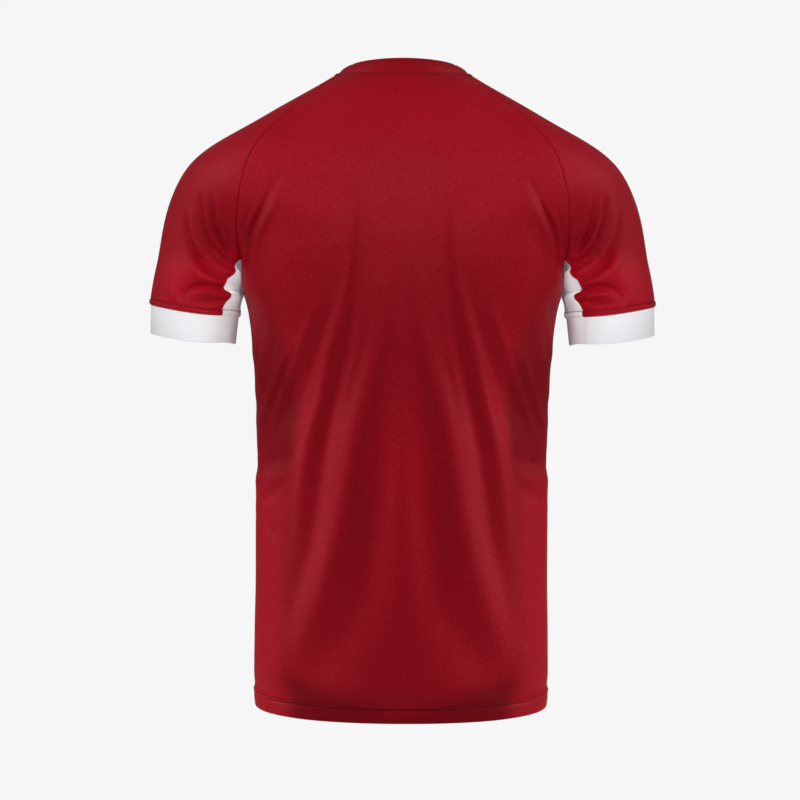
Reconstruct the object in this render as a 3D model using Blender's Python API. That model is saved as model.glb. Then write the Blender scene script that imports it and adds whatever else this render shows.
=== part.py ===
"""Raglan football jersey, hollow and open at neck, cuffs and hem as it is when worn.

The front faces -Y and the wearer's left is +X. The origin lies midway between the
tops of the two shoulders, where the neck opening sits on its wearer.
Tables are in millimetres and degrees, and the finished objects are in metres.
"""

import math
from dataclasses import dataclass, field

import bmesh
import bpy
import numpy as np

MM = 0.001

# Cloth
CLOTH_WALL = 1.2        # polyester jersey, as a solid wall
BAND_RISE = 0.8         # the turned-up hem stands this much prouder
BAND_HEIGHT = 16.0      # height of the turned-up hem
BAND_STEP = 0.8         # height over which the hem's step rises
CUFF_WALL = 2.0         # folded double
COLLAR_WALL = 2.6       # folded double with its seam allowance
SEAM_GAP = 0.3          # clearance between two sewn pieces
ARMPIT_EASE = 1.3       # extra share of the gap at an armpit's corners
ARMPIT_REACH = 6.0
SHARPEST_MITRE = 0.3    # least cosine of half a corner's turn that the gap follows
MERGE = 0.00001         # metres, well under the shortest edge
SHARP_ANGLE = 50.0
FINISHES = {
    "red jersey": ((0.242, 0.0048, 0.0116), 0.62),
    "white mesh": ((0.72, 0.70, 0.73), 0.70),
    "white rib": ((0.77, 0.76, 0.80), 0.70),
}

# Neck band
COLLAR_HEIGHT = 15.0
COLLAR_RISE_BACK = 66.0     # degrees above level, at centre back
COLLAR_RISE_SIDE = 44.0     # degrees above level, on the shoulders
COLLAR_RISE_FRONT = 60.0    # degrees above level, at centre front
COLLAR_ROWS = 3

# Cuffs: how far the lower edge lies from the seam, at the outer and inner side
CUFF_DROP_OUTER = (1.5, -33.0)
CUFF_DROP_INNER = (2.5, -30.5)
CUFF_TAPER = 0.985
CUFF_ROWS = 2

# Mesh density: steps across half a torso panel, half a sleeve and half an underarm
TORSO_STEPS = 15
SLEEVE_STEPS = 8
UNDERARM_STEPS = 4
YOKE_STEPS = 12
YOKE_CROWDING = 1.3
BODY_STEPS = 21
HEM_Z = -723.0
UNDERARM_TIP_Z = -270.0
ARMPIT_STATION = 280.0
CUFF_STATION = 345.0
ARC_POINTS = 240            # points read along an arc before it is cut into even steps


def table(columns, *rows):
    """Return the rows as one array for each named column."""
    values = np.array(rows, dtype=float)
    return dict(zip(columns.split(), values.T))


# Sections of the upper body, one for each 35 mm down the raglan seams. The centre is
# on the body's middle line, and the seam is where the panel meets the sleeve.
BACK_YOKE = table(
    "station centre_y centre_z seam_x seam_y seam_z fullness",
    (0, 66.0, 1.5, 65.0, 33.0, 1.5, 2.2),
    (35, 80.0, -15.5, 92.7, 45.5, -16.0, 2.3),
    (70, 92.0, -35.5, 118.6, 59.3, -35.0, 2.3),
    (105, 101.0, -57.0, 141.7, 74.3, -56.2, 2.35),
    (140, 108.5, -83.0, 163.1, 86.3, -81.0, 2.4),
    (175, 113.5, -113.5, 176.3, 92.5, -112.2, 2.4),
    (210, 116.5, -147.0, 183.0, 90.0, -145.8, 2.5),
    (245, 118.0, -180.0, 185.4, 76.0, -178.9, 2.8),
)
FRONT_YOKE = table(
    "station centre_y centre_z seam_x seam_y seam_z fullness",
    (0, 78.0, -74.0, 66.0, 38.0, -22.0, 2.2),
    (35, 87.0, -86.0, 91.0, 50.0, -33.0, 2.3),
    (70, 95.5, -98.0, 115.0, 62.0, -47.0, 2.3),
    (105, 103.5, -112.0, 136.0, 75.0, -65.0, 2.35),
    (140, 111.0, -130.0, 154.0, 86.0, -88.0, 2.4),
    (175, 117.0, -150.0, 167.0, 92.0, -116.0, 2.4),
    (210, 121.5, -171.0, 176.0, 90.0, -147.0, 2.5),
    (245, 124.5, -191.0, 183.0, 76.0, -179.5, 2.8),
)
# Level rings of the body below the armpits. The edge is how far behind or in front of
# the side line a panel ends, which leaves room there for the underarm panel.
BODY = table(
    "z half_width back front fullness edge_y",
    (-209, 186.0, 118.0, 125.0, 3.4, 52.0),
    (-230, 184.4, 118.0, 125.2, 3.3, 42.0),
    (-250, 180.5, 117.4, 125.0, 3.1, 24.0),
    (-270, 175.8, 116.5, 124.4, 2.9, 0.0),
    (-306, 171.4, 114.6, 122.6, 2.6, 0.0),
    (-340, 168.6, 113.0, 121.0, 2.45, 0.0),
    (-400, 167.3, 112.0, 119.0, 2.4, 0.0),
    (-471, 167.2, 112.6, 118.0, 2.4, 0.0),
    (-542, 167.6, 114.6, 118.0, 2.35, 0.0),
    (-623, 169.2, 117.0, 118.4, 2.3, 0.0),
    (HEM_Z, 170.0, 120.0, 120.0, 2.15, 0.0),
)
# Sleeve crown: the ridge runs from the neck over the shoulder to the outer side of the
# arm, and the valley is how sharply the cloth turns at the raglan seam.
CROWN = table(
    "station ridge_x ridge_z valley",
    (0, 73.5, 3.0, 0),
    (35, 105.5, -17.0, 0),
    (70, 139.4, -36.2, 0),
    (105, 173.4, -55.5, 0),
    (140, 209.4, -75.0, 0),
    (175, 241.6, -99.7, 0),
    (210, 261.8, -132.6, 4),
    (245, 273.6, -170.3, 34),
    (ARMPIT_STATION, 280.6, -209.3, 121),
)
# Sleeve below the armpit: where red cloth ends, how it leaves there, and the ridge.
SLEEVE = table(
    "station edge_x edge_y edge_z heading ridge_x ridge_z",
    (300, 193.5, 54.0, -222.0, 44, 284.3, -226.0),
    (322, 199.0, 50.0, -245.0, 46, 287.6, -243.5),
    (CUFF_STATION, 203.0, 47.0, -272.0, 50, 290.5, -261.0),
)
# Middle line of the underarm panel on the sleeve, from the armpit's fold to the cuff.
UNDERARM_SLEEVE = table(
    "station x z heading",
    (ARMPIT_STATION, 186.0, -228.0, -86),
    (287, 189.2, -235.0, -84),
    (300, 188.4, -243.0, -135),
    (322, 187.4, -256.0, -145),
    (CUFF_STATION, 187.6, -276.0, -136),
)
# The same panel's rows on the body: height of the row's ends, and its middle point.
UNDERARM_BODY = table(
    "edge_z x z heading",
    (-217, 182.8, -235.0, -88),
    (-232, 181.6, -244.0, -84),
    (-250, 179.4, -256.0, -86),
)
SCOOP = 2.5                 # power of the rise of a section from its middle to its edge
SLEEVE_ROUNDNESS = 1.22     # length of an arc's end tangents over its chord
UNDERARM_SHORT = 0.93       # share of the way to its tip at which the panel ends
UNDERARM_BULGE = 0.1        # how far the panel's last row stands out at its middle
COLLAR_TURN = 1.5           # power with which the band leans over from back to shoulder
SLEEVE_PLACES = (287.0, 300.0, 314.0, 329.0, CUFF_STATION)


@dataclass
class Fold:
    """One fold of the drape: a raised or sunken path on one face of the body."""

    face: str
    height: float
    width: float
    path: tuple
    both_sides: bool = True


FOLDS = (
    Fold("back", 4.5, 15, ((51, -225), (73, -274), (89, -318), (106, -373), (114, -434),
                           (119, -489), (125, -571))),
    Fold("back", -5.0, 15, ((40, -170), (53, -214), (62, -263), (78, -318), (89, -379),
                            (106, -489), (122, -588))),
    Fold("back", 4.5, 16, ((23, -230), (34, -307), (51, -351), (67, -423), (89, -533),
                           (122, -621))),
    Fold("back", -5.0, 18, ((28, -318), (40, -406), (56, -489), (89, -588), (122, -654))),
    Fold("back", 3.5, 16, ((0, -300), (1, -400), (-1, -520), (0, -690)), False),
    Fold("back", -5.0, 14, ((98, -290), (120, -345), (144, -423))),
    Fold("back", 3.5, 10, ((120, -307), (138, -340), (158, -395))),
    Fold("back", -5.0, 11, ((143, -128), (156, -155), (166, -180), (174, -215), (177, -250))),
    Fold("back", -3.0, 12, ((214, -150), (218, -180), (204, -226))),
    Fold("back", -3.5, 12, ((246, -165), (238, -205), (205, -243))),
    Fold("front", -5.0, 14, ((140, -140), (150, -170), (160, -205), (166, -250))),
    Fold("front", 4.0, 16, ((58, -235), (78, -300), (98, -380), (112, -470), (122, -560))),
    Fold("front", -4.5, 16, ((38, -210), (56, -290), (76, -380), (96, -480), (118, -590))),
    Fold("front", 4.0, 17, ((20, -260), (32, -350), (54, -440), (80, -540), (112, -640))),
    Fold("front", -4.5, 18, ((0, -300), (16, -400), (38, -500), (70, -600), (100, -670))),
    Fold("front", -4.0, 14, ((110, -300), (130, -360), (148, -440))),
    Fold("front", -3.0, 12, ((216, -150), (218, -190), (206, -232))),
    Fold("side", 3.5, 16, ((34, -330), (38, -430), (30, -560))),
    Fold("side", -3.5, 14, ((4, -340), (2, -450), (-4, -600))),
    Fold("side", 3.5, 16, ((-36, -330), (-32, -440), (-40, -570))),
)
FOLD_BLEND = 30.0           # depth over which a fold fades out round a side
SIDE_START = 120.0          # distance from the middle at which the sides' folds begin
FOLD_START = 0.06           # share of a sine's half wave that is left off at a fold's ends
FOLD_TAPER = 0.7            # power of that half wave, under 1 for a fold with blunt ends

ALL_SEAMS = ("first_row", "last_row", "first_column", "last_column")


@dataclass
class Panel:
    """One cut piece: the middle surface of its wall as a grid of points."""

    name: str
    points: np.ndarray
    finish: str
    wall: float = CLOTH_WALL
    seams: tuple = ALL_SEAMS
    ring: bool = False
    rise: np.ndarray = field(default=None)


# Curves and surfaces


def spline(knots, rows, places):
    """Read a natural cubic spline through the rows at the places asked for."""
    knots = np.asarray(knots, dtype=float)
    rows = np.asarray(rows, dtype=float)
    places = np.asarray(places, dtype=float)
    flat = rows.reshape(len(knots), -1)
    gaps = np.diff(knots)
    slopes = np.diff(flat, axis=0) / gaps[:, None]
    system = np.eye(len(knots))
    turns = np.zeros_like(flat)
    for i in range(1, len(knots) - 1):
        system[i, i - 1:i + 2] = gaps[i - 1], 2 * (gaps[i - 1] + gaps[i]), gaps[i]
        turns[i] = 6 * (slopes[i] - slopes[i - 1])
    bends = np.linalg.solve(system, turns)
    at = np.clip(np.searchsorted(knots, places) - 1, 0, len(knots) - 2)
    near = ((knots[at + 1] - places) / gaps[at])[:, None]
    far = 1 - near
    span = (gaps[at] ** 2 / 6)[:, None]
    values = near * flat[at] + far * flat[at + 1]
    values += ((near ** 3 - near) * bends[at] + (far ** 3 - far) * bends[at + 1]) * span
    return values.reshape((len(places),) + rows.shape[1:])


def spread(points, steps):
    """Return points at even distances along a curve."""
    lengths = np.linalg.norm(np.diff(points, axis=0), axis=1)
    along = np.concatenate(([0.0], np.cumsum(lengths)))
    wanted = np.linspace(0.0, along[-1], steps + 1)
    return np.stack([np.interp(wanted, along, axis) for axis in points.T], axis=1)


def torso_arc(depth, edge, centre_z, fullness, steps):
    """Superelliptic arc from the middle line of a panel to the edge point."""
    edge_x, edge_y, edge_z = edge
    reach = edge_y / depth
    half_width = edge_x / (1 - reach ** fullness) ** (1 / fullness)
    turn = np.linspace(0.0, math.acos(reach ** (fullness / 2)), ARC_POINTS)
    x = half_width * np.sin(turn) ** (2 / fullness)
    y = depth * np.cos(turn) ** (2 / fullness)
    z = centre_z + (edge_z - centre_z) * (x / edge_x) ** SCOOP
    x[-1], y[-1], z[-1] = edge
    return spread(np.stack([x, y, z], axis=1), steps)


def round_arc(start, heading, end, steps, roundness=SLEEVE_ROUNDNESS):
    """Arc that leaves the start at a heading in plan and reaches the end along -Y."""
    start = np.array(start, dtype=float)
    end = np.array(end, dtype=float)
    pull = roundness * math.hypot(*(end - start)[:2])
    leave = pull * np.array([math.cos(math.radians(heading)), math.sin(math.radians(heading))])
    arrive = pull * np.array([0.0, -1.0])
    t = np.linspace(0.0, 1.0, ARC_POINTS)[:, None]
    plan = (2 * t ** 3 - 3 * t ** 2 + 1) * start[:2] + (t ** 3 - 2 * t ** 2 + t) * leave
    plan = plan + (3 * t ** 2 - 2 * t ** 3) * end[:2] + (t ** 3 - t ** 2) * arrive
    height = start[2] + (end[2] - start[2]) * (3 * t ** 2 - 2 * t ** 3)
    return spread(np.hstack([plan, height]), steps)


def body_edge(row, face):
    """Point of a level body ring where its front or back panel ends."""
    depth = BODY[face][row]
    power = BODY["fullness"][row]
    edge_y = BODY["edge_y"][row]
    x = BODY["half_width"][row] * (1 - (edge_y / depth) ** power) ** (1 / power)
    return (x, edge_y, BODY["z"][row])


def pin_column(grid, column, target, reach):
    """Move one column of a grid onto its target, fading out over the reach."""
    shift = target - grid[:, column]
    away = np.abs(np.arange(grid.shape[1]) - column) / reach
    weight = np.clip(1 - away, 0, 1) ** 2
    return grid + shift[:, None, :] * weight[None, :, None]


def body_stations():
    """Station of each body ring, so that it runs on from the raglan seams."""
    return ARMPIT_STATION + BODY["z"][0] - BODY["z"]


def yoke_seam(yoke, face, places):
    """Points down one raglan seam, from the neck to the armpit."""
    knots = np.append(yoke["station"], ARMPIT_STATION)
    rows = np.stack([yoke["seam_x"], yoke["seam_y"], yoke["seam_z"]], axis=1)
    return spline(knots, np.vstack([rows, body_edge(0, face)]), places)


def torso_half(yoke, face, places, steps):
    """Half of the front or back, from its middle line to its seams, with Y positive."""
    sections = []
    for row in range(len(yoke["station"])):
        edge = (yoke["seam_x"][row], yoke["seam_y"][row], yoke["seam_z"][row])
        sections.append(torso_arc(yoke["centre_y"][row], edge, yoke["centre_z"][row],
                                  yoke["fullness"][row], steps))
    for row in range(len(BODY["z"])):
        sections.append(torso_arc(BODY[face][row], body_edge(row, face), BODY["z"][row],
                                  BODY["fullness"][row], steps))
    knots = np.concatenate([yoke["station"], body_stations()])
    grid = spline(knots, np.array(sections), places)
    seam = grid[:, -1].copy()
    above = places <= ARMPIT_STATION
    seam[above] = yoke_seam(yoke, face, places[above])
    below = places >= ARMPIT_STATION + BODY["z"][0] - UNDERARM_TIP_Z
    seam[below, 0] = spline(body_stations(), BODY["half_width"], places[below])
    seam[below, 1] = 0.0
    seam[below, 2] = ARMPIT_STATION + BODY["z"][0] - places[below]
    return pin_column(grid, steps, seam, steps / 2)


def torso_panel(name, yoke, face, places, steps):
    """Whole front or back panel, its columns running clockwise seen from above."""
    half = torso_half(yoke, face, places, steps)
    other = half[:, :0:-1] * (-1, 1, 1)
    grid = np.concatenate([other, half], axis=1)
    if face == "front":
        grid = grid[:, ::-1] * (1, -1, 1)
    return Panel(name, grid, "red jersey", seams=("first_row", "first_column", "last_column"))


def leaving_angle(yoke, face, row):
    """Heading in plan of a torso section where it reaches the raglan seam."""
    if row < len(yoke["station"]):
        depth, power = yoke["centre_y"][row], yoke["fullness"][row]
        x, y = yoke["seam_x"][row], yoke["seam_y"][row]
    else:
        depth, power = BODY[face][0], BODY["fullness"][0]
        x, y, _ = body_edge(0, face)
    half_width = x / (1 - (y / depth) ** power) ** (1 / power)
    across = (x / half_width) ** (power - 1) / half_width
    along = (y / depth) ** (power - 1) / depth
    return -math.degrees(math.atan2(across, along))


def sleeve_half(yoke, face, places, steps):
    """Half of a sleeve from its seam over to the ridge, with Y positive."""
    sections = []
    for row in range(len(CROWN["station"])):
        seam = yoke_seam(yoke, face, CROWN["station"][row:row + 1])[0]
        heading = leaving_angle(yoke, face, row) + CROWN["valley"][row]
        ridge = (CROWN["ridge_x"][row], 0.0, CROWN["ridge_z"][row])
        sections.append(round_arc(seam, heading, ridge, steps))
    for row in range(len(SLEEVE["station"])):
        edge = (SLEEVE["edge_x"][row], SLEEVE["edge_y"][row], SLEEVE["edge_z"][row])
        ridge = (SLEEVE["ridge_x"][row], 0.0, SLEEVE["ridge_z"][row])
        sections.append(round_arc(edge, SLEEVE["heading"][row], ridge, steps))
    knots = np.concatenate([CROWN["station"], SLEEVE["station"]])
    grid = spline(knots, np.array(sections), places)
    seam = grid[:, 0].copy()
    above = places <= ARMPIT_STATION
    seam[above] = yoke_seam(yoke, face, places[above])
    return pin_column(grid, 0, seam, steps / 2)


def sleeve_panel(places, steps):
    """Left sleeve, its columns running from the back seam over the ridge to the front."""
    back = sleeve_half(BACK_YOKE, "back", places, steps)
    front = sleeve_half(FRONT_YOKE, "front", places, steps) * (1, -1, 1)
    ridge = (back[:, -1] + front[:, -1]) / 2
    back = pin_column(back, steps, ridge, steps / 2)
    front = pin_column(front, steps, ridge, steps / 2)
    grid = np.concatenate([back, front[:, -2::-1]], axis=1)
    return Panel("sleeve_left", grid, "red jersey")


def underarm_row(back_edge, front_edge, middle, heading, steps):
    """One row of the underarm panel, from its back edge through the middle line."""
    flip = np.array((1.0, -1.0, 1.0))
    back = round_arc(back_edge, heading, middle, steps)
    front = round_arc(front_edge * flip, heading, middle, steps)
    return np.vstack([back, front[-2::-1] * flip])


def underarm_panel(back_edge, front_edge, sleeve, heights, steps):
    """Left underarm panel, from the cuff up to the armpit and down the body to its tip."""
    rows = []
    stations = UNDERARM_SLEEVE["station"]
    lower = (ARMPIT_STATION,) + SLEEVE_PLACES
    for edges, station in reversed(list(zip(sleeve[-len(lower):], lower))):
        middle = (np.interp(station, stations, UNDERARM_SLEEVE["x"]), 0.0,
                  np.interp(station, stations, UNDERARM_SLEEVE["z"]))
        heading = np.interp(station, stations, UNDERARM_SLEEVE["heading"])
        rows.append(underarm_row(edges[0], edges[-1], middle, heading, steps))
    for edge_z, x, z, heading in zip(*UNDERARM_BODY.values()):
        row = int(np.argmin(np.abs(heights - edge_z)))
        rows.append(underarm_row(back_edge[row], front_edge[row], (x, 0.0, z), heading, steps))
    tip = row + 1
    end_back = back_edge[row] + UNDERARM_SHORT * (back_edge[tip] - back_edge[row])
    end_front = front_edge[row] + UNDERARM_SHORT * (front_edge[tip] - front_edge[row])
    middle = (end_back[0] + UNDERARM_BULGE, 0.0, end_back[2])
    rows.append(underarm_row(end_back, end_front, middle, -90.0, steps))
    return Panel("underarm_left", np.array(rows), "white mesh")


def ring_points(*stretches):
    """Join stretches of seam into one closed ring, its last point on its first."""
    points = [stretches[0][:1]]
    for stretch in stretches:
        points.append(stretch[1:])
    return np.vstack(points)


def collar_panel(neckline):
    """Neck band, rising inwards from the neckline; its rows run down to the seam."""
    middle = neckline.mean(axis=0)
    inward = (middle - neckline) * (1.0, 1.0, 0.0)
    inward /= np.linalg.norm(inward, axis=1)[:, None]
    facing = -inward[:, 1]
    straight = np.where(facing > 0, COLLAR_RISE_BACK, COLLAR_RISE_FRONT)
    rise = COLLAR_RISE_SIDE + (straight - COLLAR_RISE_SIDE) * np.abs(facing) ** COLLAR_TURN
    rise = np.radians(rise)[:, None]
    climb = inward * np.cos(rise) + np.array((0.0, 0.0, 1.0)) * np.sin(rise)
    rows = []
    for share in np.linspace(1.0, 0.0, COLLAR_ROWS + 1):
        rows.append(neckline + climb * COLLAR_HEIGHT * share)
    return Panel("collar", np.array(rows), "red jersey", COLLAR_WALL, ("last_row",), ring=True)


def cuff_panel(seam_ring):
    """Left cuff, its rows running down from the sleeve's end."""
    outer, inner = seam_ring[:, 0].max(), seam_ring[:, 0].min()
    share = ((seam_ring[:, 0] - inner) / (outer - inner))[:, None]
    drop = share * np.array((CUFF_DROP_OUTER[0], 0.0, CUFF_DROP_OUTER[1]))
    drop = drop + (1 - share) * np.array((CUFF_DROP_INNER[0], 0.0, CUFF_DROP_INNER[1]))
    centre = np.array(((outer + inner) / 2, 0.0, 0.0))
    rows = []
    for part in np.linspace(0.0, 1.0, CUFF_ROWS + 1):
        narrow = 1 - (1 - CUFF_TAPER) * part
        shrunk = (seam_ring - centre) * (narrow, narrow, 1.0) + centre
        rows.append(shrunk + drop * part)
    return Panel("cuff_left", np.array(rows), "white rib", CUFF_WALL, ("first_row",), ring=True)


def mirrored(panel):
    """The same piece on the wearer's right."""
    points = panel.points[:, ::-1] * (-1, 1, 1)
    return Panel(panel.name.replace("left", "right"), points, panel.finish, panel.wall,
                 panel.seams, panel.ring, panel.rise)


# Drape


def surface_normals(panels):
    """Outward normals of every panel, shared where two of them are sewn together."""
    totals = {}
    keys = {}
    for panel in panels:
        grid = panel.points
        across = grid[:-1, 1:] - grid[1:, :-1]
        along = grid[1:, 1:] - grid[:-1, :-1]
        faces = np.cross(across, along)
        keys[panel.name] = [[tuple(np.round(p, 3) + 0.0) for p in row] for row in grid]
        for (row, column), face in zip(np.ndindex(faces.shape[:2]), faces.reshape(-1, 3)):
            for corner in ((0, 0), (0, 1), (1, 0), (1, 1)):
                key = keys[panel.name][row + corner[0]][column + corner[1]]
                totals[key] = totals.get(key, 0.0) + face
    normals = {}
    for panel in panels:
        sums = np.array([[totals[key] for key in row] for row in keys[panel.name]])
        normals[panel.name] = sums / np.linalg.norm(sums, axis=2)[:, :, None]
    return normals


def path_weight(places, path, width):
    """How strongly a fold along the path acts at each place, from 0 to 1."""
    path = np.array(path, dtype=float)
    lengths = np.linalg.norm(np.diff(path, axis=0), axis=1)
    total = lengths.sum()
    nearest = np.full(places.shape[:-1], np.inf)
    along = np.zeros(places.shape[:-1])
    passed = 0.0
    for start, end, length in zip(path[:-1], path[1:], lengths):
        step = (end - start) / length
        share = np.clip((places - start) @ step, 0.0, length)
        gap = np.linalg.norm(places - start - share[..., None] * step, axis=-1)
        closer = gap < nearest
        nearest = np.where(closer, gap, nearest)
        along = np.where(closer, (passed + share) / total, along)
        passed += length
    taper = np.sin(np.pi * (FOLD_START + (1 - 2 * FOLD_START) * along)) ** FOLD_TAPER
    return np.exp(-(nearest / width) ** 2) * taper


def fold_height(points):
    """Sum of all the folds at each point, outwards of the cloth's plain form."""
    x, y, z = np.moveaxis(points, -1, 0)
    height = np.zeros(x.shape)
    for fold in FOLDS:
        if fold.face == "side":
            facing = np.clip((np.abs(x) - SIDE_START) / FOLD_BLEND, 0, 1) * (z < UNDERARM_TIP_Z)
            height += fold.height * facing * path_weight(np.stack([y, z], -1), fold.path,
                                                         fold.width)
            continue
        toward = y if fold.face == "back" else -y
        facing = np.clip(0.5 + toward / FOLD_BLEND, 0, 1)
        across = np.abs(x) if fold.both_sides else x
        height += fold.height * facing * path_weight(np.stack([across, z], -1), fold.path,
                                                     fold.width)
    return height


def drape(panels):
    """Move every panel's points by the folds, along the shared normals."""
    normals = surface_normals(panels)
    for panel in panels:
        shift = fold_height(panel.points)[:, :, None] * normals[panel.name]
        panel.points = panel.points + shift


# Walls


def half_gap(points):
    """Half the seam gap at each point, eased where three pieces meet at an armpit."""
    corner = np.array(body_edge(0, "back"))
    away = np.linalg.norm(np.abs(points) * (1, 1, -1) - corner, axis=1)
    return SEAM_GAP / 2 * (1 + ARMPIT_EASE * np.exp(-(away / ARMPIT_REACH) ** 2))[:, None]


def pull_back(points, near):
    """Move a row of edge points square to their seam, towards the row next to them."""
    steps = np.diff(points, axis=0)
    steps /= np.linalg.norm(steps, axis=1)[:, None]
    seam = np.vstack([steps[:1], (steps[1:] + steps[:-1]) / 2, steps[-1:]])
    bend = np.linalg.norm(seam, axis=1)[:, None]
    seam /= bend
    inward = near - points
    inward -= (inward * seam).sum(axis=1)[:, None] * seam
    inward /= np.maximum(np.linalg.norm(inward, axis=1)[:, None], 1e-6)
    return points + inward * half_gap(points) / np.maximum(bend, SHARPEST_MITRE)


def trimmed(panel):
    """The panel's points, with each sewn edge drawn back by half the seam gap."""
    grid = panel.points.copy()
    if "first_row" in panel.seams:
        grid[0] = pull_back(grid[0], panel.points[1])
    if "last_row" in panel.seams:
        grid[-1] = pull_back(grid[-1], panel.points[-2])
    if "first_column" in panel.seams:
        grid[:, 0] = pull_back(grid[:, 0], panel.points[:, 1])
    if "last_column" in panel.seams:
        grid[:, -1] = pull_back(grid[:, -1], panel.points[:, -2])
    return grid


def wall_mesh(panel, normals):
    """Closed wall round the panel's middle surface, grown from one grid."""
    middle = trimmed(panel)
    rise = np.zeros(middle.shape[:2]) if panel.rise is None else panel.rise
    inner = (middle - normals * panel.wall / 2).reshape(-1, 3) * MM
    outer = (middle + normals * (panel.wall / 2 + rise[:, :, None])).reshape(-1, 3) * MM
    rows, columns = middle.shape[:2]
    mesh = bmesh.new()
    place = mesh.verts.layers.int.new("place")
    bmesh.ops.create_grid(mesh, x_segments=columns - 1, y_segments=rows - 1, size=1.0)
    for number, vertex in enumerate(mesh.verts):
        vertex[place] = number
        vertex.co = inner[number]
    if panel.ring:
        bmesh.ops.remove_doubles(mesh, verts=mesh.verts[:], dist=MERGE)
    grown = bmesh.ops.extrude_face_region(mesh, geom=mesh.faces[:], use_keep_orig=True)
    for item in grown["geom"]:
        if isinstance(item, bmesh.types.BMVert):
            item.co = outer[item[place]]
    mesh.verts.layers.int.remove(place)
    bmesh.ops.recalc_face_normals(mesh, faces=mesh.faces[:])
    return mesh


# Objects


def finish_material(name):
    """Principled material for one of the jersey's cloths."""
    colour, roughness = FINISHES[name]
    material = bpy.data.materials.new(name)
    material.use_nodes = True
    shader = material.node_tree.nodes["Principled BSDF"]
    shader.inputs["Base Color"].default_value = (*colour, 1.0)
    shader.inputs["Roughness"].default_value = roughness
    shader.inputs["Metallic"].default_value = 0.0
    return material


def add_piece(panel, normals, collection):
    """Add one cut piece of the jersey as an object with its own material."""
    mesh = bpy.data.meshes.new(panel.name)
    wall = wall_mesh(panel, normals)
    wall.to_mesh(mesh)
    wall.free()
    mesh.shade_smooth()
    mesh.set_sharp_from_angle(angle=math.radians(SHARP_ANGLE))
    material = finish_material(panel.finish)
    material.name = f"{panel.finish} {panel.name}"
    mesh.materials.append(material)
    collection.objects.link(bpy.data.objects.new(panel.name, mesh))


def yoke_places():
    """Stations of the rows of points above the armpits, closer together near them."""
    share = np.linspace(0.0, 1.0, YOKE_STEPS + 1)
    return ARMPIT_STATION * (1 - (1 - share) ** YOKE_CROWDING)


def torso_places():
    """Stations of the torso's rows of points, from the neck to the hem."""
    band_z = HEM_Z + BAND_HEIGHT
    beside = np.append(UNDERARM_BODY["edge_z"], UNDERARM_TIP_Z)
    below = np.linspace(UNDERARM_TIP_Z, band_z + BAND_STEP, BODY_STEPS + 1)[1:]
    heights = np.concatenate([beside, below, (band_z, HEM_Z)])
    return np.concatenate([yoke_places(), ARMPIT_STATION + BODY["z"][0] - heights])


def jersey_panels():
    """Every cut piece of the jersey, sewn edge to edge along shared points."""
    places = torso_places()
    heights = ARMPIT_STATION + BODY["z"][0] - places
    back = torso_panel("back", BACK_YOKE, "back", places, TORSO_STEPS)
    front = torso_panel("front", FRONT_YOKE, "front", places, TORSO_STEPS)
    banded = heights <= HEM_Z + BAND_HEIGHT
    for panel in (back, front):
        panel.rise = np.where(banded[:, None], BAND_RISE, 0.0) * np.ones(panel.points.shape[:2])
    sleeve = sleeve_panel(np.append(yoke_places(), SLEEVE_PLACES), SLEEVE_STEPS)
    underarm = underarm_panel(back.points[:, -1], front.points[:, 0], sleeve.points, heights,
                              UNDERARM_STEPS)
    cuff = cuff_panel(ring_points(sleeve.points[-1], underarm.points[0, ::-1]))
    sleeves = [sleeve, mirrored(sleeve)]
    neckline = ring_points(back.points[0], sleeve.points[0], front.points[0],
                           sleeves[1].points[0])
    collar = collar_panel(neckline)
    return [back, front, collar, *sleeves, underarm, mirrored(underarm), cuff, mirrored(cuff)]


def main():
    """Clear the scene and build the jersey in its own collection."""
    for item in list(bpy.data.objects):
        bpy.data.objects.remove(item)
    collection = bpy.data.collections.new("football_jersey")
    bpy.context.scene.collection.children.link(collection)
    panels = jersey_panels()
    drape(panels)
    normals = surface_normals(panels)
    for panel in panels:
        add_piece(panel, normals[panel.name], collection)


main()
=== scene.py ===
"""Raglan football jersey: its cloth, seams and stitching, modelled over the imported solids.

The front faces -Y and the wearer's left is +X. The jersey's own sizes are in millimetres
and degrees. The finished meshes and the studio are in metres.
"""

import logging
import math
from collections.abc import Sequence
from dataclasses import dataclass, field, replace
from enum import Enum
from typing import ClassVar

import bmesh
import bpy
import numpy as np
from mathutils import Matrix, Vector


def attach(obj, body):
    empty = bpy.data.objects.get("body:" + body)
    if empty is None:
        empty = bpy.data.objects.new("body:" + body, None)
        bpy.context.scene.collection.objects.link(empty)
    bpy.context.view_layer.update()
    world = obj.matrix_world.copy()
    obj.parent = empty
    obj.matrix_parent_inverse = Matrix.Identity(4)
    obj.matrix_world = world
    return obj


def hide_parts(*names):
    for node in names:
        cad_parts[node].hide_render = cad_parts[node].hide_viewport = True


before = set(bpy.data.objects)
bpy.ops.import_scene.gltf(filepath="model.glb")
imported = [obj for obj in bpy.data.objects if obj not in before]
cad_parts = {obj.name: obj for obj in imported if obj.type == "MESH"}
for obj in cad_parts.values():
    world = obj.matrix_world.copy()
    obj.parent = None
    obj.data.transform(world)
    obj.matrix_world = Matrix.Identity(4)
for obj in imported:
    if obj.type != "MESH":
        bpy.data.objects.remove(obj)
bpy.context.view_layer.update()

MM = 0.001
BODY_NAME = "root"
LOG = logging.getLogger("jersey")

Table = dict[str, np.ndarray]

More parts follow.
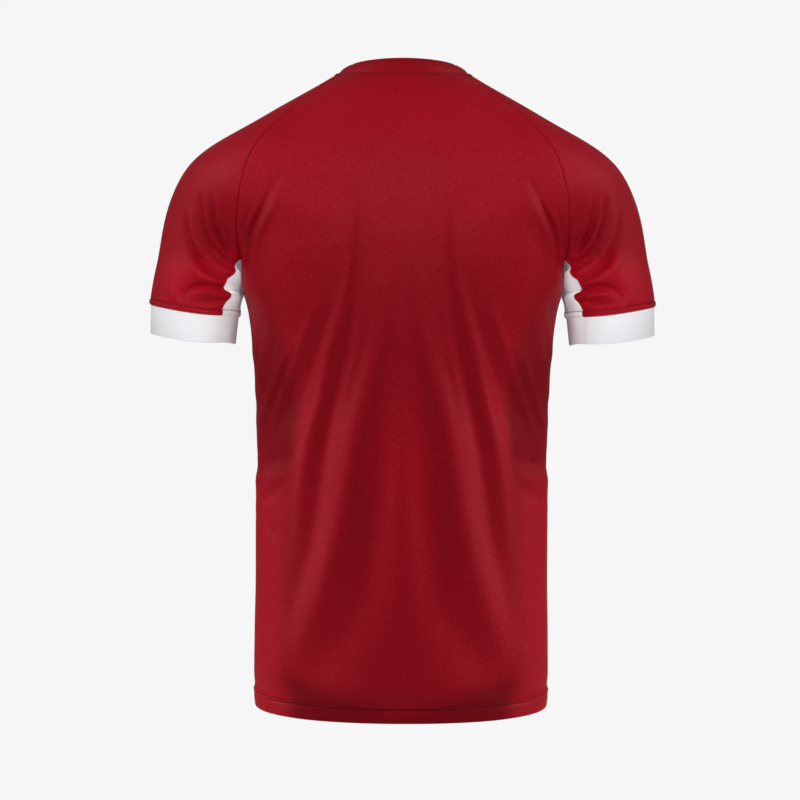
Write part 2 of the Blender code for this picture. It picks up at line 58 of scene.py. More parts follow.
ARMPIT_STATION = 280.0      # length of the raglan seam
CUFF_STATION = 345.0        # the same count, carried on down the sleeve to its end
HEM_Z = -723.0
UNDERARM_TIP_Z = -270.0     # where the underarm panel ends in a point on the side seam
ARC_POINTS = 1200           # points read along an arc before it is cut into steps
SCOOP = 2.5                 # power of the rise of a section from its middle to its edge
SLEEVE_ROUNDNESS = 1.22     # length of an arc's end tangents over its chord
MERGE = 0.000002            # metres, under the shortest edge
SHARP_ANGLE = 55.0          # degrees between two faces, from which their edge is creased
TO_FRONT = np.array((1.0, -1.0, 1.0))   # turns a point of the back into one of the front
TO_RIGHT = np.array((-1.0, 1.0, 1.0))   # turns a point of the left into one of the right


def table(columns: str, *rows: tuple[float, ...]) -> Table:
    """Return the rows as one array for each named column.

    Args:
        columns: The columns' names, with spaces between them.
        rows: One tuple of numbers for each row.

    Returns:
        The columns, by name.
    """
    values = np.array(rows, dtype=float)
    return dict(zip(columns.split(), values.T))


# Sections of the upper body, one for each 35 mm down the raglan seams. The centre is on
# the body's middle line, and the seam is where the panel meets the sleeve.
BACK_YOKE = table(
    "station centre_y centre_z seam_x seam_y seam_z fullness",
    (0, 66.0, 1.5, 65.0, 33.0, 1.5, 2.2),
    (35, 80.0, -15.5, 92.7, 45.5, -16.0, 2.3),
    (70, 92.0, -35.5, 118.6, 59.3, -35.0, 2.3),
    (105, 101.0, -57.0, 141.7, 74.3, -56.2, 2.35),
    (140, 108.5, -83.0, 163.1, 86.3, -81.0, 2.4),
    (175, 113.5, -113.5, 176.3, 92.5, -112.2, 2.4),
    (210, 116.5, -147.0, 183.0, 90.0, -145.8, 2.5),
    (245, 118.0, -180.0, 185.4, 76.0, -178.9, 2.8),
)
FRONT_YOKE = table(
    "station centre_y centre_z seam_x seam_y seam_z fullness",
    (0, 78.0, -74.0, 66.0, 38.0, -22.0, 2.2),
    (35, 87.0, -86.0, 91.0, 50.0, -33.0, 2.3),
    (70, 95.5, -98.0, 115.0, 62.0, -47.0, 2.3),
    (105, 103.5, -112.0, 136.0, 75.0, -65.0, 2.35),
    (140, 111.0, -130.0, 154.0, 86.0, -88.0, 2.4),
    (175, 117.0, -150.0, 167.0, 92.0, -116.0, 2.4),
    (210, 121.5, -171.0, 176.0, 90.0, -147.0, 2.5),
    (245, 124.5, -191.0, 183.0, 76.0, -179.5, 2.8),
)
# Level rings of the body below the armpits. The edge is how far behind or in front of the
# side line a panel ends, which leaves room there for the underarm panel.
BODY = table(
    "z half_width back front fullness edge_y",
    (-209, 186.0, 118.0, 125.0, 3.4, 52.0),
    (-230, 184.4, 118.0, 125.2, 3.3, 42.0),
    (-250, 180.5, 117.4, 125.0, 3.1, 24.0),
    (-270, 175.8, 116.5, 124.4, 2.9, 0.0),
    (-306, 171.4, 114.6, 122.6, 2.6, 0.0),
    (-340, 168.6, 113.0, 121.0, 2.45, 0.0),
    (-400, 167.3, 112.0, 119.0, 2.4, 0.0),
    (-471, 167.2, 112.6, 118.0, 2.4, 0.0),
    (-542, 167.6, 114.6, 118.0, 2.35, 0.0),
    (-623, 169.2, 117.0, 118.4, 2.3, 0.0),
    (HEM_Z, 170.0, 120.0, 120.0, 2.15, 0.0),
)
# Sleeve crown: the ridge runs from the neck over the shoulder to the outer side of the
# arm, and the valley is how sharply the cloth turns at the raglan seam.
CROWN = table(
    "station ridge_x ridge_z valley",
    (0, 73.5, 3.0, 0),
    (35, 105.5, -17.0, 0),
    (70, 139.4, -36.2, 0),
    (105, 173.4, -55.5, 0),
    (140, 209.4, -75.0, 0),
    (175, 241.6, -99.7, 0),
    (210, 261.8, -132.6, 4),
    (245, 273.6, -170.3, 34),
    (ARMPIT_STATION, 280.6, -209.3, 121),
)
# Sleeve below the armpit: where red cloth ends, how it leaves there, and the ridge.
SLEEVE = table(
    "station edge_x edge_y edge_z heading ridge_x ridge_z",
    (300, 193.5, 54.0, -222.0, 44, 284.3, -226.0),
    (322, 199.0, 50.0, -245.0, 46, 287.6, -243.5),
    (CUFF_STATION, 203.0, 47.0, -272.0, 50, 290.5, -261.0),
)
# How far the red cloth's edge strays inwards on the underarm panel, where folds of the
# sleeve end.
EDGE_WAVE = table(
    "station back front",
    (ARMPIT_STATION, 0.0, 0.0),
    (290, 0.6, 0.0),
    (297, -4.0, -1.0),
    (303, -6.6, -2.5),
    (309, -2.0, 1.5),
    (315, 1.9, 2.0),
    (319, 1.6, -1.0),
    (323, -5.6, -4.0),
    (327, -6.5, -2.0),
    (331, -3.8, 1.0),
    (336, 0.0, 1.0),
    (CUFF_STATION, -0.3, 0.0),
)
# Middle line of the underarm panel, counted in millimetres from the cuff seam through
# the armpit's fold to the panel's tip on the body.
UNDERARM_LINE = table(
    "run x z heading",
    (0, 187.6, -276.0, -136),
    (23, 187.4, -256.0, -145),
    (45, 188.4, -243.0, -135),
    (58, 189.2, -235.0, -84),
    (65, 186.0, -228.0, -86),
    (73, 182.8, -235.0, -88),
    (88, 181.6, -244.0, -84),
    (106, 179.4, -256.0, -86),
    (125.2, 176.3, -269.2, -90),
)


class Face(Enum):
    """The face of the body that a fold lies on."""

    BACK = 1
    FRONT = -1
    SIDE = 0


class Halves(Enum):
    """The halves of the body that a fold lies on."""

    BOTH = "both"
    LEFT = "left"
    RIGHT = "right"
    MIDDLE = "middle"


class Side(Enum):
    """The wearer's left or right, with the sign that it has along X."""

    LEFT = 1
    RIGHT = -1

    @property
    def word(self) -> str:
        """The side as it stands in a piece's name."""
        return self.name.lower()


# Curves


def spline(knots: np.ndarray, rows: np.ndarray, places: np.ndarray) -> np.ndarray:
    """Read a natural cubic spline through the rows at the places asked for.

    Args:
        knots: Rising positions of the rows.
        rows: One value, point or section for each knot.
        places: Positions to read.

    Returns:
        One value, point or section for each place.
    """
    knots = np.asarray(knots, dtype=float)
    rows = np.asarray(rows, dtype=float)
    places = np.asarray(places, dtype=float)
    flat = rows.reshape(len(knots), -1)
    gaps = np.diff(knots)
    slopes = np.diff(flat, axis=0) / gaps[:, None]
    system = np.eye(len(knots))
    turns = np.zeros_like(flat)
    for i in range(1, len(knots) - 1):
        system[i, i - 1:i + 2] = gaps[i - 1], 2 * (gaps[i - 1] + gaps[i]), gaps[i]
        turns[i] = 6 * (slopes[i] - slopes[i - 1])
    bends = np.linalg.solve(system, turns)
    at = np.clip(np.searchsorted(knots, places) - 1, 0, len(knots) - 2)
    near = ((knots[at + 1] - places) / gaps[at])[:, None]
    far = 1 - near
    span = (gaps[at] ** 2 / 6)[:, None]
    values = near * flat[at] + far * flat[at + 1]
    values += ((near ** 3 - near) * bends[at] + (far ** 3 - far) * bends[at + 1]) * span
    return values.reshape((len(places),) + rows.shape[1:])


def run_of(points: np.ndarray) -> np.ndarray:
    """Return the length of a line of points from its start to each of them."""
    steps = np.linalg.norm(np.diff(points, axis=0), axis=-1)
    return np.concatenate([np.zeros((1,) + steps.shape[1:]), np.cumsum(steps, axis=0)])


def spread(points: np.ndarray, shares: np.ndarray) -> np.ndarray:
    """Return points at given shares of a curve's length.

    Args:
        points: The curve, as closely spaced points.
        shares: Positions from 0 at its start to 1 at its end.

    Returns:
        One point for each share.
    """
    along = run_of(points)
    wanted = shares * along[-1]
    return np.stack([np.interp(wanted, along, axis) for axis in points.T], axis=1)


def torso_arc(depth: float, edge: Sequence[float], centre_z: float, fullness: float,
              shares: np.ndarray) -> np.ndarray:
    """Superelliptic arc from the middle line of a panel to its edge.

    Args:
        depth: How far behind the body's axis the middle line lies.
        edge: The point where the arc ends.
        centre_z: The height of the arc's start.
        fullness: The superellipse's power, 2 for an ellipse.
        shares: Positions along the arc.

    Returns:
        One point for each share, with Y positive.
    """
    edge_x, edge_y, edge_z = edge
    reach = edge_y / depth
    half_width = edge_x / (1 - reach ** fullness) ** (1 / fullness)
    turn = np.linspace(0.0, math.acos(reach ** (fullness / 2)), ARC_POINTS)
    x = half_width * np.sin(turn) ** (2 / fullness)
    y = depth * np.cos(turn) ** (2 / fullness)
    z = centre_z + (edge_z - centre_z) * (x / edge_x) ** SCOOP
    x[-1], y[-1], z[-1] = edge
    return spread(np.stack([x, y, z], axis=1), shares)


def round_arc(start: np.ndarray, heading: float, end: np.ndarray,
              shares: np.ndarray) -> np.ndarray:
    """Arc that leaves its start at a heading in plan and reaches its end along -Y.

    Args:
        start: The arc's first point.
        heading: The direction in which it leaves, counted from +X.
        end: The arc's last point.
        shares: Positions along the arc.

    Returns:
        One point for each share.
    """
    start = np.array(start, dtype=float)
    end = np.array(end, dtype=float)
    pull = SLEEVE_ROUNDNESS * math.hypot(*(end - start)[:2])
    leave = pull * np.array([math.cos(math.radians(heading)), math.sin(math.radians(heading))])
    arrive = pull * np.array([0.0, -1.0])
    t = np.linspace(0.0, 1.0, ARC_POINTS)[:, None]
    plan = (2 * t ** 3 - 3 * t ** 2 + 1) * start[:2] + (t ** 3 - 2 * t ** 2 + t) * leave
    plan = plan + (3 * t ** 2 - 2 * t ** 3) * end[:2] + (t ** 3 - t ** 2) * arrive
    height = start[2] + (end[2] - start[2]) * (3 * t ** 2 - 2 * t ** 3)
    return spread(np.hstack([plan, height]), shares)


def unit(vectors: np.ndarray) -> np.ndarray:
    """Return the vectors at length one."""
    lengths = np.linalg.norm(vectors, axis=-1, keepdims=True)
    return vectors / np.maximum(lengths, 1e-9)


# Cloth


@dataclass
class Cloth:
    """One sheet of cloth, as a grid of points on the middle of its thickness."""

    points: np.ndarray
    ring: bool = False
    normals: np.ndarray | None = None

    def facets(self) -> np.ndarray:
        """Return the normal of each face of the grid, twice as long as its area."""
        grid = self.points
        return np.cross(grid[:-1, 1:] - grid[1:, :-1], grid[1:, 1:] - grid[:-1, :-1])

    def face_sums(self) -> np.ndarray:
        """Return at each point the sum of the normals of the faces that meet there."""
        facets = self.facets()
        rows, columns = facets.shape[:2]
        sums = np.zeros_like(self.points)
        for down, right in ((0, 0), (0, 1), (1, 0), (1, 1)):
            sums[down:down + rows, right:right + columns] += facets
        return sums

    def below_first_row(self) -> np.ndarray:
        """Return each point's distance down the cloth from the first row."""
        return run_of(self.points)

    def above_last_row(self) -> np.ndarray:
        """Return each point's distance up the cloth from the last row."""
        return run_of(self.points[::-1])[::-1]

    def beside_first_column(self) -> np.ndarray:
        """Return each point's distance across the cloth from the first column."""
        return run_of(self.points.transpose(1, 0, 2)).T

    def beside_last_column(self) -> np.ndarray:
        """Return each point's distance across the cloth from the last column."""
        return run_of(self.points[:, ::-1].transpose(1, 0, 2)).T[:, ::-1]

    def area(self) -> float:
        """Return the cloth's area in square metres."""
        return float(np.linalg.norm(self.facets(), axis=2).sum() / 2) * MM * MM

    def mirrored(self) -> "Cloth":
        """Return the same sheet on the wearer's other side."""
        return Cloth(self.points[:, ::-1] * TO_RIGHT, self.ring)

    def draw_in(self, gap: float) -> None:
        """Draw the first and the last column back from their seams, by the gap."""
        first = unit(self.points[:, 1] - self.points[:, 0])
        last = unit(self.points[:, -2] - self.points[:, -1])
        self.points[:, 0] += first * gap
        self.points[:, -1] += last * gap

    def contour(self, distances: np.ndarray, level: float, lift: float) -> np.ndarray:
        """Trace the line at a given distance from an edge, just above the cloth.

        Args:
            distances: Each point's distance from that edge, rising or falling by row.
            level: The distance to trace.
            lift: How far above the cloth's middle the line runs.

        Returns:
            One point for each column.
        """
        raised = self.points + self.normals * lift
        line = []
        for column in range(raised.shape[1]):
            away = distances[:, column]
            order = np.argsort(away)
            line.append([np.interp(level, away[order], axis[order])
                         for axis in raised[:, column].T])
        return np.array(line)


def share_normals(cloths: list[Cloth]) -> None:
    """Give every cloth its outward normals, alike on both sides of each seam.

    Args:
        cloths: The sheets that are sewn together along shared points.
    """
    points = np.vstack([cloth.points.reshape(-1, 3) for cloth in cloths])
    sums = np.vstack([cloth.face_sums().reshape(-1, 3) for cloth in cloths])
    _, same = np.unique(np.round(points, 3), axis=0, return_inverse=True)
    same = same.reshape(-1)
    totals = np.zeros((same.max() + 1, 3))
    np.add.at(totals, same, sums)
    normals = unit(totals[same])
    start = 0
    for cloth in cloths:
        count = cloth.points.shape[0] * cloth.points.shape[1]
        cloth.normals = normals[start:start + count].reshape(cloth.points.shape)
        start += count


def stand(name: str, data: bpy.types.ID) -> bpy.types.Object:
    """Add an object to the scene for a mesh, a light or a camera."""
    item = bpy.data.objects.new(name, data)
    bpy.context.scene.collection.objects.link(item)
    return item


def mesh_object(name: str, shape: bmesh.types.BMesh) -> bpy.types.Object:
    """Turn a finished bmesh into a smooth object, and free the bmesh."""
    mesh = bpy.data.meshes.new(name)
    shape.to_mesh(mesh)
    shape.free()
    mesh.shade_smooth()
    return stand(name, mesh)


def cloth_object(name: str, cloth: Cloth, thickness: float) -> bpy.types.Object:
    """Make a closed shell round a sheet of cloth, grown from one grid.

    Args:
        name: The new object's name.
        cloth: The sheet, with its normals.
        thickness: The cloth's thickness.

    Returns:
        The object, with a UV map in metres of flat cloth.
    """
    rows, columns = cloth.points.shape[:2]
    half = cloth.normals * (thickness / 2)
    inner = ((cloth.points - half) * MM).reshape(-1, 3).tolist()
    outer = ((cloth.points + half) * MM).reshape(-1, 3).tolist()
    shell = bmesh.new()
    place = shell.verts.layers.int.new("place")
    bmesh.ops.create_grid(shell, x_segments=columns - 1, y_segments=rows - 1, size=1.0)
    for number, vertex in enumerate(shell.verts):
        vertex[place] = number
        vertex.co = inner[number]
    if cloth.ring:
        bmesh.ops.remove_doubles(shell, verts=shell.verts[:], dist=MERGE)
    grown = bmesh.ops.extrude_face_region(shell, geom=shell.faces[:], use_keep_orig=True)
    for item in grown["geom"]:
        if isinstance(item, bmesh.types.BMVert):
            item.co = outer[item[place]]
    bmesh.ops.recalc_face_normals(shell, faces=shell.faces[:])
    piece = mesh_object(name, shell)
    add_cloth_map(piece.data, cloth)
    piece.data.set_sharp_from_angle(angle=math.radians(SHARP_ANGLE))
    return piece


def add_cloth_map(mesh: bpy.types.Mesh, cloth: Cloth) -> None:
    """Lay a UV map on a shell, in metres across and down the flat cloth.

    Args:
        mesh: The shell, whose points still carry their place in the grid.
        cloth: The sheet that it was grown from.
    """
    across = cloth.beside_first_column()
    if not cloth.ring:
        middle = across.shape[1] // 2
        across = across - across[:, middle:middle + 1]
    flat = np.stack([across, -cloth.below_first_row()], axis=2).reshape(-1, 2) * MM
    places = np.zeros(len(mesh.vertices), dtype=np.int32)
    mesh.attributes["place"].data.foreach_get("value", places)
    corners = np.zeros(len(mesh.loops), dtype=np.int32)
    mesh.loops.foreach_get("vertex_index", corners)
    spots = flat[places[corners]]
    if cloth.ring:
        quads = spots.reshape(-1, 4, 2)
        girth = np.ptp(across) * MM
        torn = np.ptp(quads[:, :, 0], axis=1) > girth / 2
        quads[:, :, 0] += girth * (torn[:, None] & (quads[:, :, 0] < girth / 2))
        spots = quads.reshape(-1, 2)
    layer = mesh.uv_layers.new(name="cloth")
    layer.data.foreach_set("uv", spots.reshape(-1).astype(np.float32))
    mesh.attributes.remove(mesh.attributes["place"])


# The jersey's plain form


def across_armpit(places: np.ndarray | float) -> np.ndarray | float:
    """Turn heights below the armpit into stations, or such stations into heights."""
    return ARMPIT_STATION + BODY["z"][0] - places


@dataclass
class JerseyForm:
    """The jersey without folds: how densely each piece is cut into rows and columns."""

    neck_rows: int = 13             # over the first stretch below the neck seam
    neck_stretch: float = 9.0
    yoke_step: float = 4.6
    crease_station: float = 120.0   # below this the rows lie closer, for the creases
    crease_step: float = 2.3
    sleeve_step: float = 1.5
    cuff_stretch: float = 9.0
    cuff_rows: int = 13
    side_step: float = 3.6          # beside the underarm panel
    tip_gap: float = 1.0            # between that panel's tip and the row above it
    tip_rows: int = 9               # from the tip down to the side's end
    side_end_z: float = -300.0
    body_step: float = 5.2
    hem_stretch: float = 26.0
    hem_rows: int = 24
    torso_columns: int = 92         # across half a panel, without the seam's own
    sleeve_columns: int = 90
    plain_share: float = 0.96       # of the half panel, which those columns take up
    crowding: float = 1.25          # power with which they draw together at its end
    seam_columns: tuple[float, ...] = (0.03, 0.02, 0.0125, 0.0075, 0.004, 0.0016, 0.0)
    seam_reach: float = 0.5         # share of a half panel that moves with its seam
    underarm_columns: int = 12
    wave_reach: float = 0.22        # share of the sleeve that the edge's wave moves

    def seam_shares(self, columns: int) -> np.ndarray:
        """Return shares from a panel's middle to its seam, crowded beside the seam."""
        even = np.linspace(0.0, 1.0, columns)
        plain = self.plain_share * (1 - (1 - even) ** self.crowding)
        return np.concatenate([plain, 1 - np.array(self.seam_columns)])

    def yoke_places(self) -> np.ndarray:
        """Return the stations of the rows from the neck to the armpit."""
        neck = np.linspace(0.0, self.neck_stretch, self.neck_rows)
        count = round((self.crease_station - self.neck_stretch) / self.yoke_step)
        upper = np.linspace(self.neck_stretch, self.crease_station, count + 1)[1:]
        count = round((ARMPIT_STATION - self.crease_station) / self.crease_step)
        lower = np.linspace(self.crease_station, ARMPIT_STATION, count + 1)[1:]
        return np.concatenate([neck, upper, lower])

    def sleeve_places(self) -> np.ndarray:
        """Return the stations of the sleeve's rows below the armpit."""
        last = CUFF_STATION - self.cuff_stretch
        count = round((last - ARMPIT_STATION) / self.sleeve_step)
        upper = np.linspace(ARMPIT_STATION, last, count + 1)[1:]
        lower = np.linspace(last, CUFF_STATION, self.cuff_rows + 1)[1:]
        return np.concatenate([upper, lower])

    def body_heights(self) -> np.ndarray:
        """Return the heights of the torso's rows below the armpit."""
        top, tip = BODY["z"][0], UNDERARM_TIP_Z
        beside = np.linspace(top, tip + self.tip_gap, round((top - tip) / self.side_step))[1:]
        upper = np.linspace(tip, self.side_end_z, self.tip_rows)
        last = HEM_Z + self.hem_stretch
        count = round((self.side_end_z - last) / self.body_step)
        lower = np.linspace(self.side_end_z, last, count + 1)[1:]
        hem = np.linspace(last, HEM_Z, self.hem_rows + 1)[1:]
        return np.concatenate([beside, upper, lower, hem])

    def body_edge(self, row: int, face: Face) -> tuple[float, float, float]:
        """Return the point of a level body ring where its front or back panel ends."""
        depth = BODY[face.name.lower()][row]
        power = BODY["fullness"][row]
        edge_y = BODY["edge_y"][row]
        x = BODY["half_width"][row] * (1 - (edge_y / depth) ** power) ** (1 / power)
        return (x, edge_y, BODY["z"][row])

    def yoke_seam(self, yoke: Table, face: Face, places: np.ndarray) -> np.ndarray:
        """Return points down one raglan seam, from the neck to the armpit."""
        knots = np.append(yoke["station"], ARMPIT_STATION)
        rows = np.stack([yoke["seam_x"], yoke["seam_y"], yoke["seam_z"]], axis=1)
        return spline(knots, np.vstack([rows, self.body_edge(0, face)]), places)

    def torso_half(self, yoke: Table, face: Face, places: np.ndarray,
                   shares: np.ndarray) -> np.ndarray:
        """Make half of the front or back, from its middle line to its seams.

        Args:
            yoke: The panel's sections above the armpit.
            face: Front or back.
            places: Stations of the rows.
            shares: Positions of the columns.

        Returns:
            The grid of points, with Y positive.
        """
        sections = []
        for row in range(len(yoke["station"])):
            edge = (yoke["seam_x"][row], yoke["seam_y"][row], yoke["seam_z"][row])
            sections.append(torso_arc(yoke["centre_y"][row], edge, yoke["centre_z"][row],
                                      yoke["fullness"][row], shares))
        for row in range(len(BODY["z"])):
            sections.append(torso_arc(BODY[face.name.lower()][row], self.body_edge(row, face),
                                      BODY["z"][row], BODY["fullness"][row], shares))
        stations = across_armpit(BODY["z"])
        grid = spline(np.concatenate([yoke["station"], stations]), np.array(sections), places)
        seam = grid[:, -1].copy()
        above = places <= ARMPIT_STATION
        seam[above] = self.yoke_seam(yoke, face, places[above])
        below = places >= across_armpit(UNDERARM_TIP_Z)
        seam[below, 0] = spline(stations, BODY["half_width"], places[below])
        seam[below, 1] = 0.0
        seam[below, 2] = across_armpit(places[below])
        return self.pinned(grid, seam, 1 - shares, self.seam_reach)

    @staticmethod
    def pinned(grid: np.ndarray, edge: np.ndarray, away: np.ndarray,
               reach: float) -> np.ndarray:
        """Move the column that has no distance away onto an edge, fading out over a reach.

        Args:
            grid: The points of half a panel.
            edge: Where the column's points belong.
            away: Each column's distance from it.
            reach: The distance over which the move fades out.

        Returns:
            The moved points.
        """
        column = int(np.argmin(away))
        weight = np.clip(1 - away / reach, 0, 1) ** 2
        return grid + (edge - grid[:, column])[:, None, :] * weight[None, :, None]

    def torso(self, face: Face) -> Cloth:
        """Make the whole front or back, its columns clockwise seen from above."""
        yoke = BACK_YOKE if face is Face.BACK else FRONT_YOKE
        places = np.concatenate([self.yoke_places(), across_armpit(self.body_heights())])
        half = self.torso_half(yoke, face, places, self.seam_shares(self.torso_columns))
        grid = np.concatenate([half[:, :0:-1] * TO_RIGHT, half], axis=1)
        if face is Face.FRONT:
            grid = grid[:, ::-1] * TO_FRONT
        return Cloth(grid)

    def leaving_angle(self, yoke: Table, face: Face, row: int) -> float:
        """Return the heading of a torso section where it reaches the raglan seam."""
        if row < len(yoke["station"]):
            depth, power = yoke["centre_y"][row], yoke["fullness"][row]
            x, y = yoke["seam_x"][row], yoke["seam_y"][row]
        else:
            depth, power = BODY[face.name.lower()][0], BODY["fullness"][0]
            x, y, _ = self.body_edge(0, face)
        half_width = x / (1 - (y / depth) ** power) ** (1 / power)
        across = (x / half_width) ** (power - 1) / half_width
        along = (y / depth) ** (power - 1) / depth
        return -math.degrees(math.atan2(across, along))

    def sleeve_half(self, yoke: Table, face: Face, places: np.ndarray,
                    shares: np.ndarray) -> np.ndarray:
        """Make half of a sleeve, from its seam over to the ridge.

        Args:
            yoke: The sections of the panel that the sleeve is sewn to.
            face: Front or back.
            places: Stations of the rows.
            shares: Positions of the columns.

        Returns:
            The grid of points, with Y positive.
        """
        sections = []
        for row in range(len(CROWN["station"])):
            seam = self.yoke_seam(yoke, face, CROWN["station"][row:row + 1])[0]
            heading = self.leaving_angle(yoke, face, row) + CROWN["valley"][row]
            ridge = (CROWN["ridge_x"][row], 0.0, CROWN["ridge_z"][row])
            sections.append(round_arc(seam, heading, ridge, shares))
        for row in range(len(SLEEVE["station"])):
            edge = (SLEEVE["edge_x"][row], SLEEVE["edge_y"][row], SLEEVE["edge_z"][row])
            ridge = (SLEEVE["ridge_x"][row], 0.0, SLEEVE["ridge_z"][row])
            sections.append(round_arc(edge, SLEEVE["heading"][row], ridge, shares))
        knots = np.concatenate([CROWN["station"], SLEEVE["station"]])
        grid = spline(knots, np.array(sections), places)
        seam = grid[:, 0].copy()
        above = places <= ARMPIT_STATION
        seam[above] = self.yoke_seam(yoke, face, places[above])
        grid = self.pinned(grid, seam, shares, self.seam_reach)
        stray = spline(EDGE_WAVE["station"], EDGE_WAVE[face.name.lower()], places)
        strayed = grid[:, 0] + np.where(above, 0.0, stray)[:, None] * (1.0, 0.0, 0.0)
        return self.pinned(grid, strayed, shares, self.wave_reach)

    def sleeve(self) -> Cloth:
        """Make the left sleeve, from the back seam over the ridge to the front."""
        places = np.concatenate([self.yoke_places(), self.sleeve_places()])
        shares = 1 - self.seam_shares(self.sleeve_columns)[::-1]
        back = self.sleeve_half(BACK_YOKE, Face.BACK, places, shares)
        front = self.sleeve_half(FRONT_YOKE, Face.FRONT, places, shares) * TO_FRONT
        ridge = (back[:, -1] + front[:, -1]) / 2
        back = self.pinned(back, ridge, 1 - shares, self.seam_reach)
        front = self.pinned(front, ridge, 1 - shares, self.seam_reach)
        return Cloth(np.concatenate([back, front[:, -2::-1]], axis=1))

    def underarm(self, back: Cloth, front: Cloth, sleeve: Cloth) -> Cloth:
        """Make the left underarm panel, from the cuff through the armpit to its tip.

        Args:
            back: The back panel.
            front: The front panel.
            sleeve: The left sleeve.

        Returns:
            The panel, its columns running from back to front.
        """
        armpit = len(self.yoke_places()) - 1
        shares = np.linspace(0.0, 1.0, self.underarm_columns + 1)
        edges = [(sleeve.points[row, 0], sleeve.points[row, -1])
                 for row in range(len(sleeve.points) - 1, armpit - 1, -1)]
        runs = list(CUFF_STATION - np.concatenate([[ARMPIT_STATION], self.sleeve_places()])[::-1])
        for offset, height in enumerate(self.body_heights()):
            if height <= UNDERARM_TIP_Z:
                break
            row = armpit + 1 + offset
            edges.append((back.points[row, -1], front.points[row, 0]))
            runs.append(CUFF_STATION - ARMPIT_STATION + BODY["z"][0] - height)
        knots = UNDERARM_LINE["run"]
        middle_x = spline(knots, UNDERARM_LINE["x"], runs)
        middle_z = spline(knots, UNDERARM_LINE["z"], runs)
        headings = np.interp(runs, knots, UNDERARM_LINE["heading"])
        rows = []
        for edge, x, z, heading in zip(edges, middle_x, middle_z, headings):
            middle = (x, 0.0, z)
            behind = round_arc(edge[0], heading, middle, shares)
            before = round_arc(edge[1] * TO_FRONT, heading, middle, shares)
            rows.append(np.vstack([behind, before[-2::-1] * TO_FRONT]))
        return Cloth(np.array(rows))


# Folds

LINE_POINTS = 4         # read along a fold for each point of its path
TAPER_CUT = 0.04        # share of a half wave that is cut off at each end of a fold
TAPER_POWER = 0.7       # under 1 keeps a fold high for most of its length


@dataclass(frozen=True)
class Fold:
    """One fold of the drape: a raised or sunken path on one face of the body."""

    height: float
    width: float
    path: tuple[tuple[float, float], ...]   # X and Z on the back and front, Y and Z on a side
    halves: Halves = Halves.BOTH
    lean: float = 0.0       # more than 0: wider on the left of the path, going down it
    sharpness: float = 2.0  # 2 is a soft swell, and less is a crease
    widen: float = 1.0      # width at the path's end over the width at its start

    def weight(self, places: np.ndarray) -> np.ndarray:
        """Return how strongly the fold acts at each place, from 0 to 1.

        Args:
            places: Points in the plane of the path, one a row.

        Returns:
            One number for each place.
        """
        knots = np.array(self.path, dtype=float)
        run = run_of(knots)
        line = spline(run, knots, np.linspace(0.0, run[-1], LINE_POINTS * len(knots)))
        run = run_of(line)
        nearest = np.full(len(places), np.inf)
        along = np.zeros(len(places))
        side = np.zeros(len(places))
        for start, end, passed in zip(line[:-1], line[1:], run[:-1]):
            length = np.linalg.norm(end - start)
            step = (end - start) / length
            from_start = places - start
            share = np.clip(from_start @ step, 0.0, length)
            gap = np.linalg.norm(from_start - share[:, None] * step, axis=1)
            closer = gap < nearest
            nearest = np.where(closer, gap, nearest)
            along = np.where(closer, (passed + share) / run[-1], along)
            turn = step[0] * from_start[:, 1] - step[1] * from_start[:, 0]
            side = np.where(closer, turn, side)
        width = self.width * (1 + (self.widen - 1) * along)
        width = width * (1 + self.lean * np.tanh(side / width))
        taper = np.sin(np.pi * (TAPER_CUT + (1 - 2 * TAPER_CUT) * along)) ** TAPER_POWER
        return np.exp(-(nearest / width) ** self.sharpness) * taper


